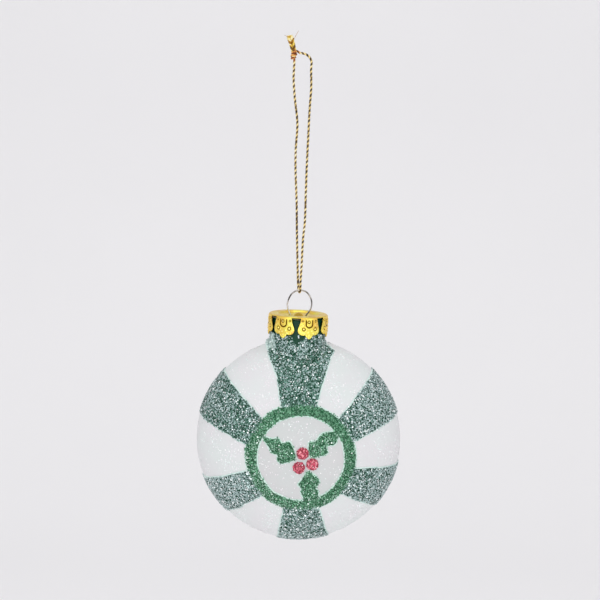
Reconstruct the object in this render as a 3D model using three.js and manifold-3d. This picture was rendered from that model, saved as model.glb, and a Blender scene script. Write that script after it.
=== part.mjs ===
// A glitter-striped glass bauble: a thick blown disc with a short neck, a gold petalled cap,
// a sprung wire ring and a loop of gold cord.
// Millimetres, +Z up, front towards -Y. The origin is where a hook or peg bears in the cord loop.

import * as THREE from "three";
import { mergeVertices } from "three/addons/utils/BufferGeometryUtils.js";
import Module from "manifold-3d";

const wasm = await Module();
wasm.setup();

// Driving dimensions: the blown glass
const DISC_DIAMETER = 80;
const DISC_THICKNESS = 42;
const NECK_DIAMETER = 19.8;
const NECK_RISE = 8.9; // from the disc's rim up to the lip
const GLASS_WALL = 1.0;
const NECK_BLEND = 70; // higher is a sharper corner between neck and disc

// Driving dimensions: the glitter coats
const COAT_THICKNESS = 0.5;
const BERRY_THICKNESS = 0.9;
const NECK_BARE_TOP = 0.6; // the lip stays free of glue
const NECK_BARE_STRIP = 2.1; // a strip of this width is left bare up the neck's left side
const NECK_BARE_FROM = 3.2; // from this far below the rim's top upwards
const ROUNDEL_X = 0.6; // the pattern's centre, a little low and right of the disc's centre
const ROUNDEL_Z = -2.4;
const RING_INNER_RADIUS = 16.5;
const RING_BAND = 4.3;

// The six stripes, painted by hand: name, direction in degrees from +X towards +Z, and spread
const STRIPES = [
  ["stripe_top", 90, 34],
  ["stripe_upper_left", 148.7, 27],
  ["stripe_lower_left", 208.7, 26],
  ["stripe_bottom", 272, 33.5],
  ["stripe_lower_right", 336, 28],
  ["stripe_upper_right", 33, 27],
];

// The holly: each leaf's name, root from the pattern's centre, direction in degrees, length, width
const LEAVES = [
  ["leaf_left", -1.6, 1.5, 151, 13.6, 8.2],
  ["leaf_right", 4.0, 3.6, 32, 12.2, 8.0],
  ["leaf_bottom", 2.7, -4.6, 269, 11.6, 8.0],
];
// Half of the spiky leaf outline: share of the length, and share of the half width
const LEAF_OUTLINE = [
  [0.0, 0.3],
  [0.05, 0.72],
  [0.2, 1.0],
  [0.28, 0.62],
  [0.42, 0.6],
  [0.5, 0.9],
  [0.58, 0.46],
  [0.7, 0.4],
  [0.78, 0.62],
  [0.86, 0.26],
  [1.0, 0.04],
];
const BERRY_RADIUS = 2.3;
const BERRIES = [
  ["berry_top", 1.0, 2.7],
  ["berry_left", -0.4, -2.8],
  ["berry_right", 4.6, -1.5],
];

// Driving dimensions: the pressed cap
const CAP_CLEARANCE = 0.5; // between the skirt and the coated neck
const CAP_HEIGHT = 8.3;
const CAP_SHEET = 0.3;
const CAP_EDGE_RADIUS = 0.8;
const DISH_RADIUS = 8.2; // the top is pressed down inside this radius
const DISH_DEPTH = 0.75;
const CAP_LEAN = 2.3; // degrees, it sits askew on the lip, lower on the right
const PETALS = 7;
const PETAL_TURN = -3.5; // degrees from the front to the first gap
const BRIDGE_WIDTH = 2.2; // the pressed rib between the two wire holes
const BRIDGE_HEIGHT = 1.2; // above the dish
// One side of the gap between two petals: degrees from its middle, and share of the cap's height
const GAP_OUTLINE = [
  [9.2, 0.04],
  [8.4, 0.2],
  [6.4, 0.36],
  [4.0, 0.52],
  [3.4, 0.61],
  [4.6, 0.72],
  [9.0, 0.8],
  [13.5, 0.83],
  [17.0, 0.81],
  [19.5, 0.88],
  [22.5, 0.97],
];
const GAP_FOOT = 1.1; // the gap runs on past the skirt, to this share of its height

// Driving dimensions: the sprung wire hanger, measured from the cap's top
const WIRE_DIAMETER = 0.6;
const WIRE_RING_WIDTH = 9.2; // to the wire's middle
const WIRE_RING_HEIGHT = 9.9;
const WIRE_RING_RISE = 4.0; // the ring's centre above the cap
const LEG_SPACING = 6.1;
const LEG_DEPTH = 12; // the legs' reach below the cap's top
const LEG_PLAY = 0.5; // between a leg's tip and the bore
const LEG_BOW = 0.35; // how far a leg springs outwards just under the cap
const LEG_BOW_AT = 0.16; // share of the leg's depth where it does
const WIRE_RING_GAP = 25; // degrees that the ring runs on below its middle on each side
const WIRE_HOLE_DIAMETER = 1.5;

// Driving dimensions: the cord
const CORD_DIAMETER = 0.9;
const KNOT_SIZE = [4.0, 3.0, 3.6];
const KNOT_CENTRE = [-2.7, 0, -0.5];
const KNOT_WRAPS = 3;
const KNOT_SWELL = 0.07; // how far a wrap stands out, as a share of the knot

// Clearance between neighbours
const FIT = 0.3;

// Worked out from the above
const discRadius = DISC_DIAMETER / 2;
const halfThickness = DISC_THICKNESS / 2;
const neckRadius = NECK_DIAMETER / 2;
const boreRadius = neckRadius - GLASS_WALL;
const lipHeight = discRadius + NECK_RISE;
const neckFoot = discRadius * Math.sqrt(1 - (neckRadius / halfThickness) ** 2); // at the front
const coatedNeck = neckRadius + FIT + COAT_THICKNESS;
const capRadius = coatedNeck + CAP_CLEARANCE + CAP_SHEET;
const lean = THREE.MathUtils.degToRad(CAP_LEAN);
const capTop = lipHeight + FIT + neckRadius * Math.sin(lean) + CAP_SHEET;
const ringOuterRadius = RING_INNER_RADIUS + RING_BAND;
const wireRadius = WIRE_DIAMETER / 2;
const legTip = boreRadius - wireRadius - LEG_PLAY - LEG_DEPTH * Math.sin(lean);
const bridgeLength = LEG_SPACING - WIRE_HOLE_DIAMETER - 2 * FIT;

// Facet counts, and lengths that only the cutting needs
const COLUMNS = 40;
const NECK_ROWS = 6;
const BODY_ROWS = 15;
const CAP_FACETS = 42;
const ROUNDEL_FACETS = 36;
const BERRY_FACETS = 12;
const WIRE_SIDES = 8;
const WIRE_STEPS = 44;
const WIRE_RING_POINTS = 11;
const CORD_SIDES = 8;
const CORD_STEPS = 76;
const TAIL_STEPS = 4;
const FAR = 2 * DISC_DIAMETER;
const PAST = 1; // how far a cut reaches past the face that it opens
const NECK_RUN = 1.2; // the neck's rows of facets run on this far below its foot

const material = (color, roughness, metalness) =>
  new THREE.MeshStandardMaterial({ color, roughness, metalness });
const FROSTED_GLASS = material(0xe9eeee, 0.55, 0);
const GREEN_GLITTER = material(0x5d8a7c, 0.5, 0.4);
const LEAF_GLITTER = material(0x3f7f5d, 0.5, 0.4);
const RED_GLITTER = material(0xc0395a, 0.5, 0.4);
const GOLD_SHEET = material(0xe6c24a, 0.3, 1);
const STEEL_WIRE = material(0xb8bcc2, 0.3, 1);
const GOLD_CORD = material(0xb8923a, 0.55, 0.6);

// Solids for cutting and joining

function toSolid(geometry) {
  const bare = geometry.clone();
  bare.deleteAttribute("normal");
  bare.deleteAttribute("uv");
  const merged = mergeVertices(bare, 1e-4);
  return new wasm.Manifold(
    new wasm.Mesh({
      numProp: 3,
      vertProperties: Float32Array.from(merged.attributes.position.array),
      triVerts: Uint32Array.from(merged.index.array),
    }),
  );
}

function toGeometry(solid) {
  const mesh = solid.getMesh();
  const geometry = new THREE.BufferGeometry();
  geometry.setAttribute("position", new THREE.BufferAttribute(Float32Array.from(mesh.vertProperties), 3));
  geometry.setIndex(new THREE.BufferAttribute(Uint32Array.from(mesh.triVerts), 1));
  return geometry;
}

// Closes a stack of equal rings of points with a fan at each end, first ring on top
function closedRings(rings, topPoint, bottomPoint) {
  const count = rings[0].length;
  const points = [...rings.flat(), topPoint, bottomPoint];
  const top = points.length - 2;
  const bottom = points.length - 1;
  const last = (rings.length - 1) * count;
  const index = [];
  for (let i = 0; i < count; i++) {
    const j = (i + 1) % count;
    index.push(top, i, j, bottom, last + j, last + i);
    for (let row = 0; row < last; row += count) {
      index.push(row + i, row + count + i, row + count + j, row + i, row + count + j, row + j);
    }
  }
  const geometry = new THREE.BufferGeometry().setFromPoints(points);
  geometry.setIndex(index);
  return geometry;
}

// The bulb's form grown by an offset: a disc domed front and back, flowing into a round neck
function bulb(offset, topHeight) {
  const rim = discRadius + offset;
  const dome = halfThickness + offset;
  const neck = neckRadius + offset;
  const reach = (polar, turn) => {
    const side = (Math.cos(turn) / rim) ** 2 + (Math.sin(turn) / dome) ** 2;
    const disc = 1 / Math.sqrt(Math.sin(polar) ** 2 * side + (Math.cos(polar) / rim) ** 2);
    const wall = polar < Math.PI / 2 ? neck / Math.sin(polar) : 0;
    return (disc ** NECK_BLEND + wall ** NECK_BLEND) ** (1 / NECK_BLEND);
  };
  const polars = [];
  for (let i = 1; i <= NECK_ROWS; i++) {
    const height = THREE.MathUtils.lerp(topHeight, neckFoot - NECK_RUN, i / NECK_ROWS);
    polars.push(Math.atan2(neck, height));
  }
  const shoulder = polars[polars.length - 1];
  for (let i = 1; i < BODY_ROWS; i++) {
    polars.push(THREE.MathUtils.lerp(shoulder, Math.PI, i / BODY_ROWS));
  }
  const turns = Array.from({ length: COLUMNS }, (_, i) => (2 * Math.PI * i) / COLUMNS);
  const mouth = turns.map((t) => new THREE.Vector3(neck * Math.cos(t), neck * Math.sin(t), topHeight));
  const rings = polars.map((polar) =>
    turns.map((turn) => {
      const out = reach(polar, turn) * Math.sin(polar);
      return new THREE.Vector3(out * Math.cos(turn), out * Math.sin(turn), reach(polar, turn) * Math.cos(polar));
    }),
  );
  return toSolid(
    closedRings([mouth, ...rings], new THREE.Vector3(0, 0, topHeight), new THREE.Vector3(0, 0, -rim)),
  );
}

// A layer laid on the glass, from the fit's clearance out to the thickness given
function coat(thickness) {
  const top = lipHeight - NECK_BARE_TOP;
  return bulb(FIT + thickness, top).subtract(bulb(FIT, top + PAST));
}

// An outline in X and Z carried through from one Y to another
function prism(shape, fromY, toY, facets = 24) {
  const geometry = new THREE.ExtrudeGeometry(shape, {
    depth: toY - fromY,
    bevelEnabled: false,
    curveSegments: facets / 2,
  });
  geometry.rotateX(Math.PI / 2);
  geometry.translate(0, toY, 0);
  return toSolid(geometry);
}

// A sector of the pattern, from a radius outwards past the rim
function sector(direction, spread, innerRadius) {
  const start = THREE.MathUtils.degToRad(direction - spread / 2);
  const end = THREE.MathUtils.degToRad(direction + spread / 2);
  const shape = new THREE.Shape();
  shape.absarc(ROUNDEL_X, ROUNDEL_Z, innerRadius, start, end, false);
  shape.lineTo(ROUNDEL_X + FAR * Math.cos(end), ROUNDEL_Z + FAR * Math.sin(end));
  shape.lineTo(ROUNDEL_X + FAR * Math.cos(start), ROUNDEL_Z + FAR * Math.sin(start));
  shape.closePath();
  return shape;
}

function annulus(innerRadius, outerRadius) {
  const shape = new THREE.Shape();
  shape.absarc(ROUNDEL_X, ROUNDEL_Z, outerRadius, 0, 2 * Math.PI, false);
  const hole = new THREE.Path();
  hole.absarc(ROUNDEL_X, ROUNDEL_Z, innerRadius, 0, 2 * Math.PI, true);
  shape.holes.push(hole);
  return shape;
}

function leafShape(rootX, rootZ, direction, length, width) {
  const along = new THREE.Vector2(1, 0).rotateAround(new THREE.Vector2(), THREE.MathUtils.degToRad(direction));
  const across = new THREE.Vector2(-along.y, along.x);
  const place = (share, side) =>
    new THREE.Vector2(ROUNDEL_X + rootX, ROUNDEL_Z + rootZ)
      .addScaledVector(along, share * length)
      .addScaledVector(across, (side * width) / 2);
  const left = LEAF_OUTLINE.map(([share, side]) => place(share, side));
  const right = LEAF_OUTLINE.map(([share, side]) => place(share, -side)).reverse();
  return new THREE.Shape([...left, ...right].reverse());
}

// The pieces

function makeGlass() {
  return toGeometry(bulb(0, lipHeight).subtract(bulb(-GLASS_WALL, lipHeight + PAST)));
}

function makeStripe(layer, name, direction, spread) {
  const cut = prism(sector(direction, spread, ringOuterRadius + FIT), -FAR, FAR);
  let stripe = layer.intersect(cut);
  if (name === "stripe_top") {
    const bareSide = new THREE.Shape([
      new THREE.Vector2(-FAR, discRadius - NECK_BARE_FROM),
      new THREE.Vector2(NECK_BARE_STRIP - coatedNeck, discRadius - NECK_BARE_FROM),
      new THREE.Vector2(NECK_BARE_STRIP - coatedNeck, FAR),
      new THREE.Vector2(-FAR, FAR),
    ]);
    stripe = stripe.subtract(prism(bareSide, -FAR, FAR));
  }
  return toGeometry(stripe);
}

// Both faces carry the same roundel: side is -1 at the front and 1 at the back
function facePrism(shape, side, facets) {
  return side < 0 ? prism(shape, -FAR, 0, facets) : prism(shape, 0, FAR, facets);
}

function makeRing(layer, side) {
  const band = facePrism(annulus(RING_INNER_RADIUS, ringOuterRadius), side, ROUNDEL_FACETS);
  return toGeometry(layer.intersect(band));
}

function dot(x, z, radius) {
  return new THREE.Shape().absarc(ROUNDEL_X + x, ROUNDEL_Z + z, radius, 0, 2 * Math.PI, false);
}

// A leaf stops short of the ring and of the berries
function makeLeaf(layer, side, leaf) {
  const inside = facePrism(dot(0, 0, RING_INNER_RADIUS - FIT), side, ROUNDEL_FACETS);
  let patch = layer.intersect(facePrism(leafShape(...leaf), side)).intersect(inside);
  for (const [, x, z] of BERRIES) {
    patch = patch.subtract(facePrism(dot(x, z, BERRY_RADIUS + FIT), side, BERRY_FACETS));
  }
  return toGeometry(patch);
}

function makeBerry(layer, side, x, z) {
  return toGeometry(layer.intersect(facePrism(dot(x, z, BERRY_RADIUS), side, BERRY_FACETS)));
}

// The cap is made with its top at zero height, then leaned over and set on the neck
function seatCap(solid) {
  return solid.rotate([0, CAP_LEAN, 0]).translate([0, 0, capTop]);
}

function makeCap() {
  const edge = (radius, steps) =>
    Array.from({ length: steps + 1 }, (_, i) => {
      const angle = Math.PI / 2 - (i / steps) * (Math.PI / 2);
      const centre = capRadius - CAP_EDGE_RADIUS;
      return new THREE.Vector2(centre + radius * Math.cos(angle), radius * Math.sin(angle) - CAP_EDGE_RADIUS);
    });
  const dish = (depth) => [
    new THREE.Vector2(0, -DISH_DEPTH - depth),
    new THREE.Vector2(DISH_RADIUS - DISH_DEPTH, -DISH_DEPTH - depth),
    new THREE.Vector2(DISH_RADIUS, -depth),
  ];
  const outline = [
    ...dish(0),
    ...edge(CAP_EDGE_RADIUS, 4),
    new THREE.Vector2(capRadius, -CAP_HEIGHT),
    new THREE.Vector2(capRadius - CAP_SHEET, -CAP_HEIGHT),
    ...edge(CAP_EDGE_RADIUS - CAP_SHEET, 3).reverse(),
    ...dish(CAP_SHEET).reverse(),
  ].reverse();
  const cup = new THREE.LatheGeometry(outline, CAP_FACETS);
  cup.rotateX(Math.PI / 2);
  let cap = toSolid(cup);

  const gapPoint = (degrees, share, side) => {
    const across = side * capRadius * Math.sin(THREE.MathUtils.degToRad(degrees));
    return new THREE.Vector2(across, -share * CAP_HEIGHT);
  };
  const outer = [[180 / PETALS, 1], [180 / PETALS, GAP_FOOT]];
  const gapSide = (side) => [...GAP_OUTLINE, ...outer].map(([degrees, share]) => gapPoint(degrees, share, side));
  const gap = new THREE.Shape([...gapSide(-1), ...gapSide(1).reverse()]);
  const cutter = prism(gap, -2 * capRadius, -DISH_RADIUS - FIT);
  for (let i = 0; i < PETALS; i++) {
    cap = cap.subtract(cutter.rotate([0, 0, PETAL_TURN + (360 * i) / PETALS]));
  }

  const bridgeFoot = -DISH_DEPTH - CAP_SHEET / 2;
  const bridge = new THREE.SphereGeometry(1, 12, 8);
  bridge.scale(bridgeLength / 2, BRIDGE_WIDTH / 2, BRIDGE_HEIGHT);
  bridge.translate(0, 0, bridgeFoot);
  const above = new THREE.BoxGeometry(capRadius, capRadius, capRadius);
  above.translate(0, 0, bridgeFoot + capRadius / 2);
  cap = cap.add(toSolid(bridge).intersect(toSolid(above)));

  for (const side of [-1, 1]) {
    const hole = new THREE.CylinderGeometry(WIRE_HOLE_DIAMETER / 2, WIRE_HOLE_DIAMETER / 2, capRadius, 12);
    hole.rotateX(Math.PI / 2);
    hole.translate((side * LEG_SPACING) / 2, 0, 0);
    cap = cap.subtract(toSolid(hole));
  }
  return toGeometry(seatCap(cap));
}

// Sweeps a round section along a curve
function tube(curve, diameter, sides, steps) {
  const section = new THREE.Shape(
    Array.from({ length: sides }, (_, i) => {
      const angle = (2 * Math.PI * i) / sides;
      return new THREE.Vector2((diameter / 2) * Math.cos(angle), (diameter / 2) * Math.sin(angle));
    }),
  );
  return new THREE.ExtrudeGeometry(section, { steps, extrudePath: curve, bevelEnabled: false });
}

function makeHanger() {
  const leg = (side) => [
    new THREE.Vector3(side * legTip, 0, -LEG_DEPTH),
    new THREE.Vector3((side * (legTip + LEG_SPACING / 2)) / 2, 0, -LEG_DEPTH / 2),
    new THREE.Vector3(side * (LEG_SPACING / 2 + LEG_BOW), 0, -LEG_DEPTH * LEG_BOW_AT),
    new THREE.Vector3((side * LEG_SPACING) / 2, 0, 0),
  ];
  const ring = Array.from({ length: WIRE_RING_POINTS }, (_, i) => {
    const share = i / (WIRE_RING_POINTS - 1);
    const angle = THREE.MathUtils.degToRad(-WIRE_RING_GAP + share * (180 + 2 * WIRE_RING_GAP));
    const rise = WIRE_RING_RISE + (WIRE_RING_HEIGHT / 2) * Math.sin(angle);
    return new THREE.Vector3((WIRE_RING_WIDTH / 2) * Math.cos(angle), 0, rise);
  });
  const route = new THREE.CatmullRomCurve3([...leg(1), ...ring, ...leg(-1).reverse()], false, "centripetal");
  return toGeometry(seatCap(toSolid(tube(route, WIRE_DIAMETER, WIRE_SIDES, WIRE_STEPS))));
}

// The cord's route, chosen by hand from the knot over the peg, down, under the wire and up again
const CORD_ROUTE = [
  [-0.75, 0, 0.35],
  [0.2, 0, 0.2],
  [1.5, 0, -0.15],
  [2.85, 0, -1.1],
  [3.65, 0, -2.7],
  [3.55, -0.1, -5.8],
  [3.6, -0.2, -12.2],
  [3.0, -0.4, -20.7],
  [2.5, -0.6, -30.6],
  [2.0, -0.9, -40.6],
  [1.6, -1.1, -51.4],
  [1.25, -1.4, -62.3],
  [0.5, -1.6, -69.6],
  [0.0, -1.8, -79.2],
  [-0.4, -1.9, -85.2],
  [-0.45, -1.9, -87.7],
  [-0.55, -1.35, -89.3],
  [-0.85, 0, -89.95],
  [-1.15, 1.35, -89.3],
  [-1.3, 1.9, -87.7],
  [-1.4, 1.9, -85.2],
  [-1.6, 1.8, -77.0],
  [-1.8, 1.6, -65.9],
  [-1.9, 1.3, -55.0],
  [-2.3, 1.0, -42.8],
  [-2.2, 0.8, -34.9],
  [-1.6, 0.6, -25.6],
  [-2.6, 0.4, -15.7],
  [-3.0, 0.2, -8.7],
  [-2.8, 0, -4.6],
  [-2.7, 0, -2.7],
];
const TAIL_ROUTES = {
  cord_tail_left: [
    [-3.5, 0, 1.5],
    [-4.0, 0, 3.0],
    [-4.6, 0, 4.9],
    [-5.2, 0, 6.8],
  ],
  cord_tail_right: [
    [-2.35, 0, 1.65],
    [-2.5, 0, 3.2],
    [-2.9, 0, 5.0],
    [-3.6, 0, 7.0],
  ],
};

function makeCord(points, steps) {
  const route = new THREE.CatmullRomCurve3(
    points.map((point) => new THREE.Vector3(...point)),
    false,
    "centripetal",
  );
  return tube(route, CORD_DIAMETER, CORD_SIDES, steps);
}

// The overhand knot's outer form: an egg with three rounded wraps
function makeKnot() {
  const knot = new THREE.SphereGeometry(1, 14, 10);
  const place = knot.attributes.position;
  for (let i = 0; i < place.count; i++) {
    const point = new THREE.Vector3().fromBufferAttribute(place, i);
    const swell = 1 + KNOT_SWELL * Math.cos(KNOT_WRAPS * Math.PI * point.y + point.x * 2);
    place.setXYZ(i, point.x * swell, point.y * swell, point.z * swell);
  }
  knot.rotateX(Math.PI / 2);
  knot.scale(...KNOT_SIZE.map((size) => size / 2));
  knot.translate(...KNOT_CENTRE);
  return knot;
}

// The assembly

// The wire ring's top rests in the bottom of the cord's loop, and the glass hangs from it
const ringTop = WIRE_RING_RISE + WIRE_RING_HEIGHT / 2;
const bight = CORD_ROUTE.reduce((lowest, point) => (point[2] < lowest[2] ? point : lowest));
const restHeight = bight[2] + CORD_DIAMETER / 2 + FIT + wireRadius;
const bauble = new THREE.Group();
const hung = new THREE.Group();
hung.position.set(bight[0] - ringTop * Math.sin(lean), 0, restHeight - capTop - ringTop * Math.cos(lean));
bauble.add(hung);

function addTo(group, name, geometry, finish) {
  const mesh = new THREE.Mesh(geometry, finish);
  mesh.name = name;
  group.add(mesh);
}

addTo(bauble, "cord_loop", makeCord(CORD_ROUTE, CORD_STEPS), GOLD_CORD);
addTo(bauble, "cord_knot", makeKnot(), GOLD_CORD);
for (const [name, points] of Object.entries(TAIL_ROUTES)) {
  addTo(bauble, name, makeCord(points, TAIL_STEPS), GOLD_CORD);
}

addTo(hung, "hanger_wire", makeHanger(), STEEL_WIRE);
addTo(hung, "cap", makeCap(), GOLD_SHEET);
addTo(hung, "glass_bulb", makeGlass(), FROSTED_GLASS);

const layer = coat(COAT_THICKNESS);
const berryLayer = coat(BERRY_THICKNESS);
for (const [name, direction, spread] of STRIPES) {
  addTo(hung, name, makeStripe(layer, name, direction, spread), GREEN_GLITTER);
}
for (const [face, side] of [["front", -1], ["back", 1]]) {
  addTo(hung, `${face}_ring`, makeRing(layer, side), LEAF_GLITTER);
  for (const [name, ...leaf] of LEAVES) {
    addTo(hung, `${face}_${name}`, makeLeaf(layer, side, leaf), LEAF_GLITTER);
  }
  for (const [name, x, z] of BERRIES) {
    addTo(hung, `${face}_${name}`, makeBerry(berryLayer, side, x, z), RED_GLITTER);
  }
}

export default bauble;
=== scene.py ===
"""A glass bauble with glitter stripes and holly, hanging on a gold cord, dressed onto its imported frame.

Shapes are worked out in millimetres: the glass, its glitter, the cap and the wire in the bauble's own
frame, whose origin is the disc's centre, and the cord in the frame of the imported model.
"""

import math

import bmesh
import bpy
import numpy as np
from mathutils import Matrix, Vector, noise
from mathutils.geometry import delaunay_2d_cdt


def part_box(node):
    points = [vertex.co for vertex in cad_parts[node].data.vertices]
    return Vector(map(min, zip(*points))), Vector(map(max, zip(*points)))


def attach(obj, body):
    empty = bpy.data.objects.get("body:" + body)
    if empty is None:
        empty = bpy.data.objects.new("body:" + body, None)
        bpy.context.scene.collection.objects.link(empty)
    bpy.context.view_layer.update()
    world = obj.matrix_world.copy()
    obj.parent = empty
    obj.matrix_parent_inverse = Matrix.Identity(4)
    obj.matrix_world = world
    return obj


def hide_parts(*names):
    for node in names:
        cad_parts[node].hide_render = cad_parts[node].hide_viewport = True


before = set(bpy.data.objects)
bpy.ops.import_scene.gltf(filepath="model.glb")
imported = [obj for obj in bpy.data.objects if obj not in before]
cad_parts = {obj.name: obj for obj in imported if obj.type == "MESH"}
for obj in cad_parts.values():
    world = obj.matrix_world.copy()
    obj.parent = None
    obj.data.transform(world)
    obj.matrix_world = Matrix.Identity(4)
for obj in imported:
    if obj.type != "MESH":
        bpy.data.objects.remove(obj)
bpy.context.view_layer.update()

MM = 0.001

# The blown glass
DISC_RADIUS = 40.0
HALF_THICKNESS = 21.0
NECK_RADIUS = 9.9
LIP_HEIGHT = 48.9
GLASS_WALL = 1.0
NECK_BLEND = 70
NECK_FOOT = 35.3

# The pattern on each face: its centre across and up, and the ring with its own centre
PATTERN = np.array([0.6, -2.4])
RING_CENTRE = np.array([0.9, -2.1])
RING_INNER = 16.5
RING_OUTER = 20.6

# The stripes: the angle of each long edge about the pattern's centre, in degrees from +X towards +Z,
# where it leaves the ring and where it meets the rim
EDGE_NEAR = 21.0
EDGE_FAR = 40.0
STRIPES = {
    "stripe_top": ((73.5, 74.1), (108.6, 104.8)),
    "stripe_upper_left": ((132.9, 134.2), (164.4, 160.8)),
    "stripe_lower_left": ((194.0, 197.4), (224.5, 220.6)),
    "stripe_bottom": ((252.8, 256.4), (290.2, 286.8)),
    "stripe_lower_right": ((318.5, 323.0), (349.0, 350.3)),
    "stripe_upper_right": ((17.7, 19.8), (46.1, 46.8)),
}
# Where the top stripe spreads out to the shoulders of the neck, across and up
SHOULDERS = [
    (9.1, 26.0), (10.8, 31.0), (11.8, 33.8), (13.4, 36.4), (12.6, 37.2), (10.6, 38.2), (10.6, 60),
    (-11.9, 60), (-11.8, 37.6), (-11.2, 35.6), (-10.3, 33.6), (-9.1, 31.4), (-8.1, 28.8),
]
# How silvery the flakes are: more towards the rim, where it stands for a painted sheen, and on the neck,
# more or less in patches
RIM_SHEEN = 0.26
NECK_SILVER = 0.2
PATCH_SILVER = 0.1
RING_TO_RIM = 19.2
# And over that, how silvery each stripe is by itself: partly its own silver glitter and partly painted
# light, most on the lower stripes, where the light from below falls
STRIPE_SILVER_AND_LIGHT = {
    "stripe_top": -0.12, "stripe_upper_left": 0.0, "stripe_upper_right": 0.22, "stripe_lower_left": 0.66,
    "stripe_bottom": 0.31, "stripe_lower_right": 0.38,
}

# The holly leaves, drawn about the disc's centre, across and up
LEAVES = {
    "leaf_left": [
        (-0.9, -1.9), (-1.6, 1.5), (-3.2, 4.9), (-4.9, 4.3), (-6.2, 4.0), (-7.6, 6.2), (-9.6, 5.5),
        (-13.8, 6.8), (-11.2, 3.0), (-9.8, 0.4), (-7.6, -0.2), (-7.8, -2.4), (-6.6, -3.6), (-3.8, -2.9),
    ],
    "leaf_right": [
        (3.7, 1.8), (3.9, 4.6), (6.7, 4.9), (8.4, 7.6), (12.2, 8.3), (15.6, 8.2), (13.7, 3.3),
        (10.1, 3.1), (11.0, 0.2), (8.3, -0.8), (4.4, -1.3),
    ],
    "leaf_bottom": [
        (3.4, -6.3), (1.4, -9.6), (-0.2, -12.0), (1.2, -13.2), (1.0, -15.4), (2.2, -18.2), (4.6, -19.3),
        (7.2, -18.0), (7.5, -14.8), (6.1, -13.5), (8.0, -10.8), (6.2, -8.2),
    ],
}
LEAF_ROUNDING = 0.15
LEAF_SPACING = 0.35
BERRY_RADIUS = 2.15
BERRIES = {"berry_top": (1.6, 0.3), "berry_left": (0.2, -5.2), "berry_right": (5.2, -3.9)}

# The glitter: glue laid on the glass, and flakes set in it
GLUE_LIFT = 0.3
GLUE_FOOT = 0.03
GLUE_FRINGE = 0.5
STRAY_REACH = 0.3  # how far outside the painted outline a few flakes lie
PAINTED_LIFT = 0.3  # how much thicker the ring and the leaves are along their middle
BERRY_LIFT = 0.9
BERRY_EDGE = 0.08
BERRY_FRINGE = 0.15
# How far a painted edge wavers, slowly and quickly, and over what length
HAND, HAND_RUN = 0.3, 3.5
TREMOR, TREMOR_RUN = 0.16, 0.9
WAVER_SEED = 1
NECK_COAT_TOP = 48.75
CAP_SHADE_FROM = 42.3  # above this height the flakes on the neck thin out to none

# A thick run of glue on the left of the neck, with few flakes and pale up to a height
RUN_EDGE = -8.6
RUN_FOOT = 37.0
RUN_PALE_TO = 41.4
RUN_END = 44.4
RUN_FADE = 6.0  # how far below its end it begins to thin
RUN_SOFTNESS = 2.4
RUN_LIFT = 1.1  # how much thicker than the rest it stands
RUN_COVER = 0.3
RUN_SILVER = 0.4
RUN_PALE = -0.05  # its pale part is coloured as if it lay this far outside the painted outline

# A wedge with few flakes that runs down from under the cap's front gap, where the dark glue shows: partly
# bare glue, partly painted shade under the cap
WEDGE_FOOT = 38.9
WEDGE_MIDDLE = -0.6
WEDGE_FOOT_HALF = 0.8
WEDGE_FLARE = 0.75
WEDGE_SOFTNESS = 1.6

# The flakes: how many lie on a square millimetre and their radius
STRIPE_STREW = (4.8, 0.29)
RING_STREW = (5.2, 0.28)
LEAF_STREW = (5.4, 0.27)
BERRY_STREW = (6.5, 0.27)
SPARKLE_STREW = (1.3, 0.2)
FLAKE_SIDES = 6
FLAKE_THICKNESS = 0.035
FLAKE_SIZES = (0.6, 1.25)
FLAKE_TILT = 0.4
FLAKE_RISE = 0.12  # how far the highest of them stand up out of the glue
SPARKLE_RISE = 0.03
SPARKLE_GAP = 0.8  # how far the sparkle stays from the painted coats
SPARKLE_SEED = 77
# The side on which each face lies, and the first seed of its flakes
FACES = {"front": (-1, 20), "back": (1, 40)}

# The pressed cap, measured down from its top
CAP_RADIUS = 11.5
CAP_HEIGHT = 8.3
CAP_SHEET = 0.3
CAP_EDGE = 0.8
CAP_LEAN = 2.3
CAP_TOP = 49.897
DISH_FLOOR = 7.45
DISH_RADIUS = 8.2
DISH_DEPTH = 0.75
DENT = 0.24
PETALS = 7
PETAL_TURN = -3.5
PETAL_ROOT = 0.33
ROOT_HALF = 16.5  # degrees from a petal's middle to its side at its root
PETAL_HALF = 22.3  # and at its widest
# Where a petal's columns start and end, down from the top, by degrees from its middle
PETAL_STARTS = ([ROOT_HALF, 17.3, 19.3, 21.7, PETAL_HALF], [PETAL_ROOT, 1.66, 2.99, 4.32, 5.06])
PETAL_ENDS = (
    [0, 3.2, 6.2, 8.7, 12.2, 16.7, 21.1, PETAL_HALF],
    [CAP_HEIGHT, 8.05, 7.3, 6.72, 6.89, 6.64, 5.98, 5.06],
)
# The rib pressed up between two slits in the top
RIB_HALF_LENGTH = 2.0
RIB_HALF_WIDTH = 1.05
RIB_RISE = 1.2
SLIT = 0.3
WIRE_HOLE = (3.05, 0.75)  # how far from the middle, and its radius
# The marks pressed into each petal: rings as (across, down, radius), and raised dots as (across, down)
PETAL_RINGS = [
    (-2.2, 4.5, 0.6), (2.5, 4.5, 0.6), (-0.2, 1.8, 0.5), (-2.65, 1.25, 0.35), (2.7, 1.5, 0.35),
]
PETAL_DOTS = [
    (-0.4, 5.7), (0.0, 6.9), (-1.2, 5.0), (1.1, 5.2), (-3.3, 3.4), (3.4, 3.3), (-2.4, 2.9), (2.4, 2.9),
    (-3.4, 5.4), (3.5, 5.4), (-1.6, 6.1), (1.6, 6.1), (-3.4, 2.0), (3.4, 2.3),
]
RING_BOSS = 0.24
RING_DEPTH = 0.22
RING_WIDTH = 0.15
DOT_RISE = 0.22
DOT_WIDTH = 0.24
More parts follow.
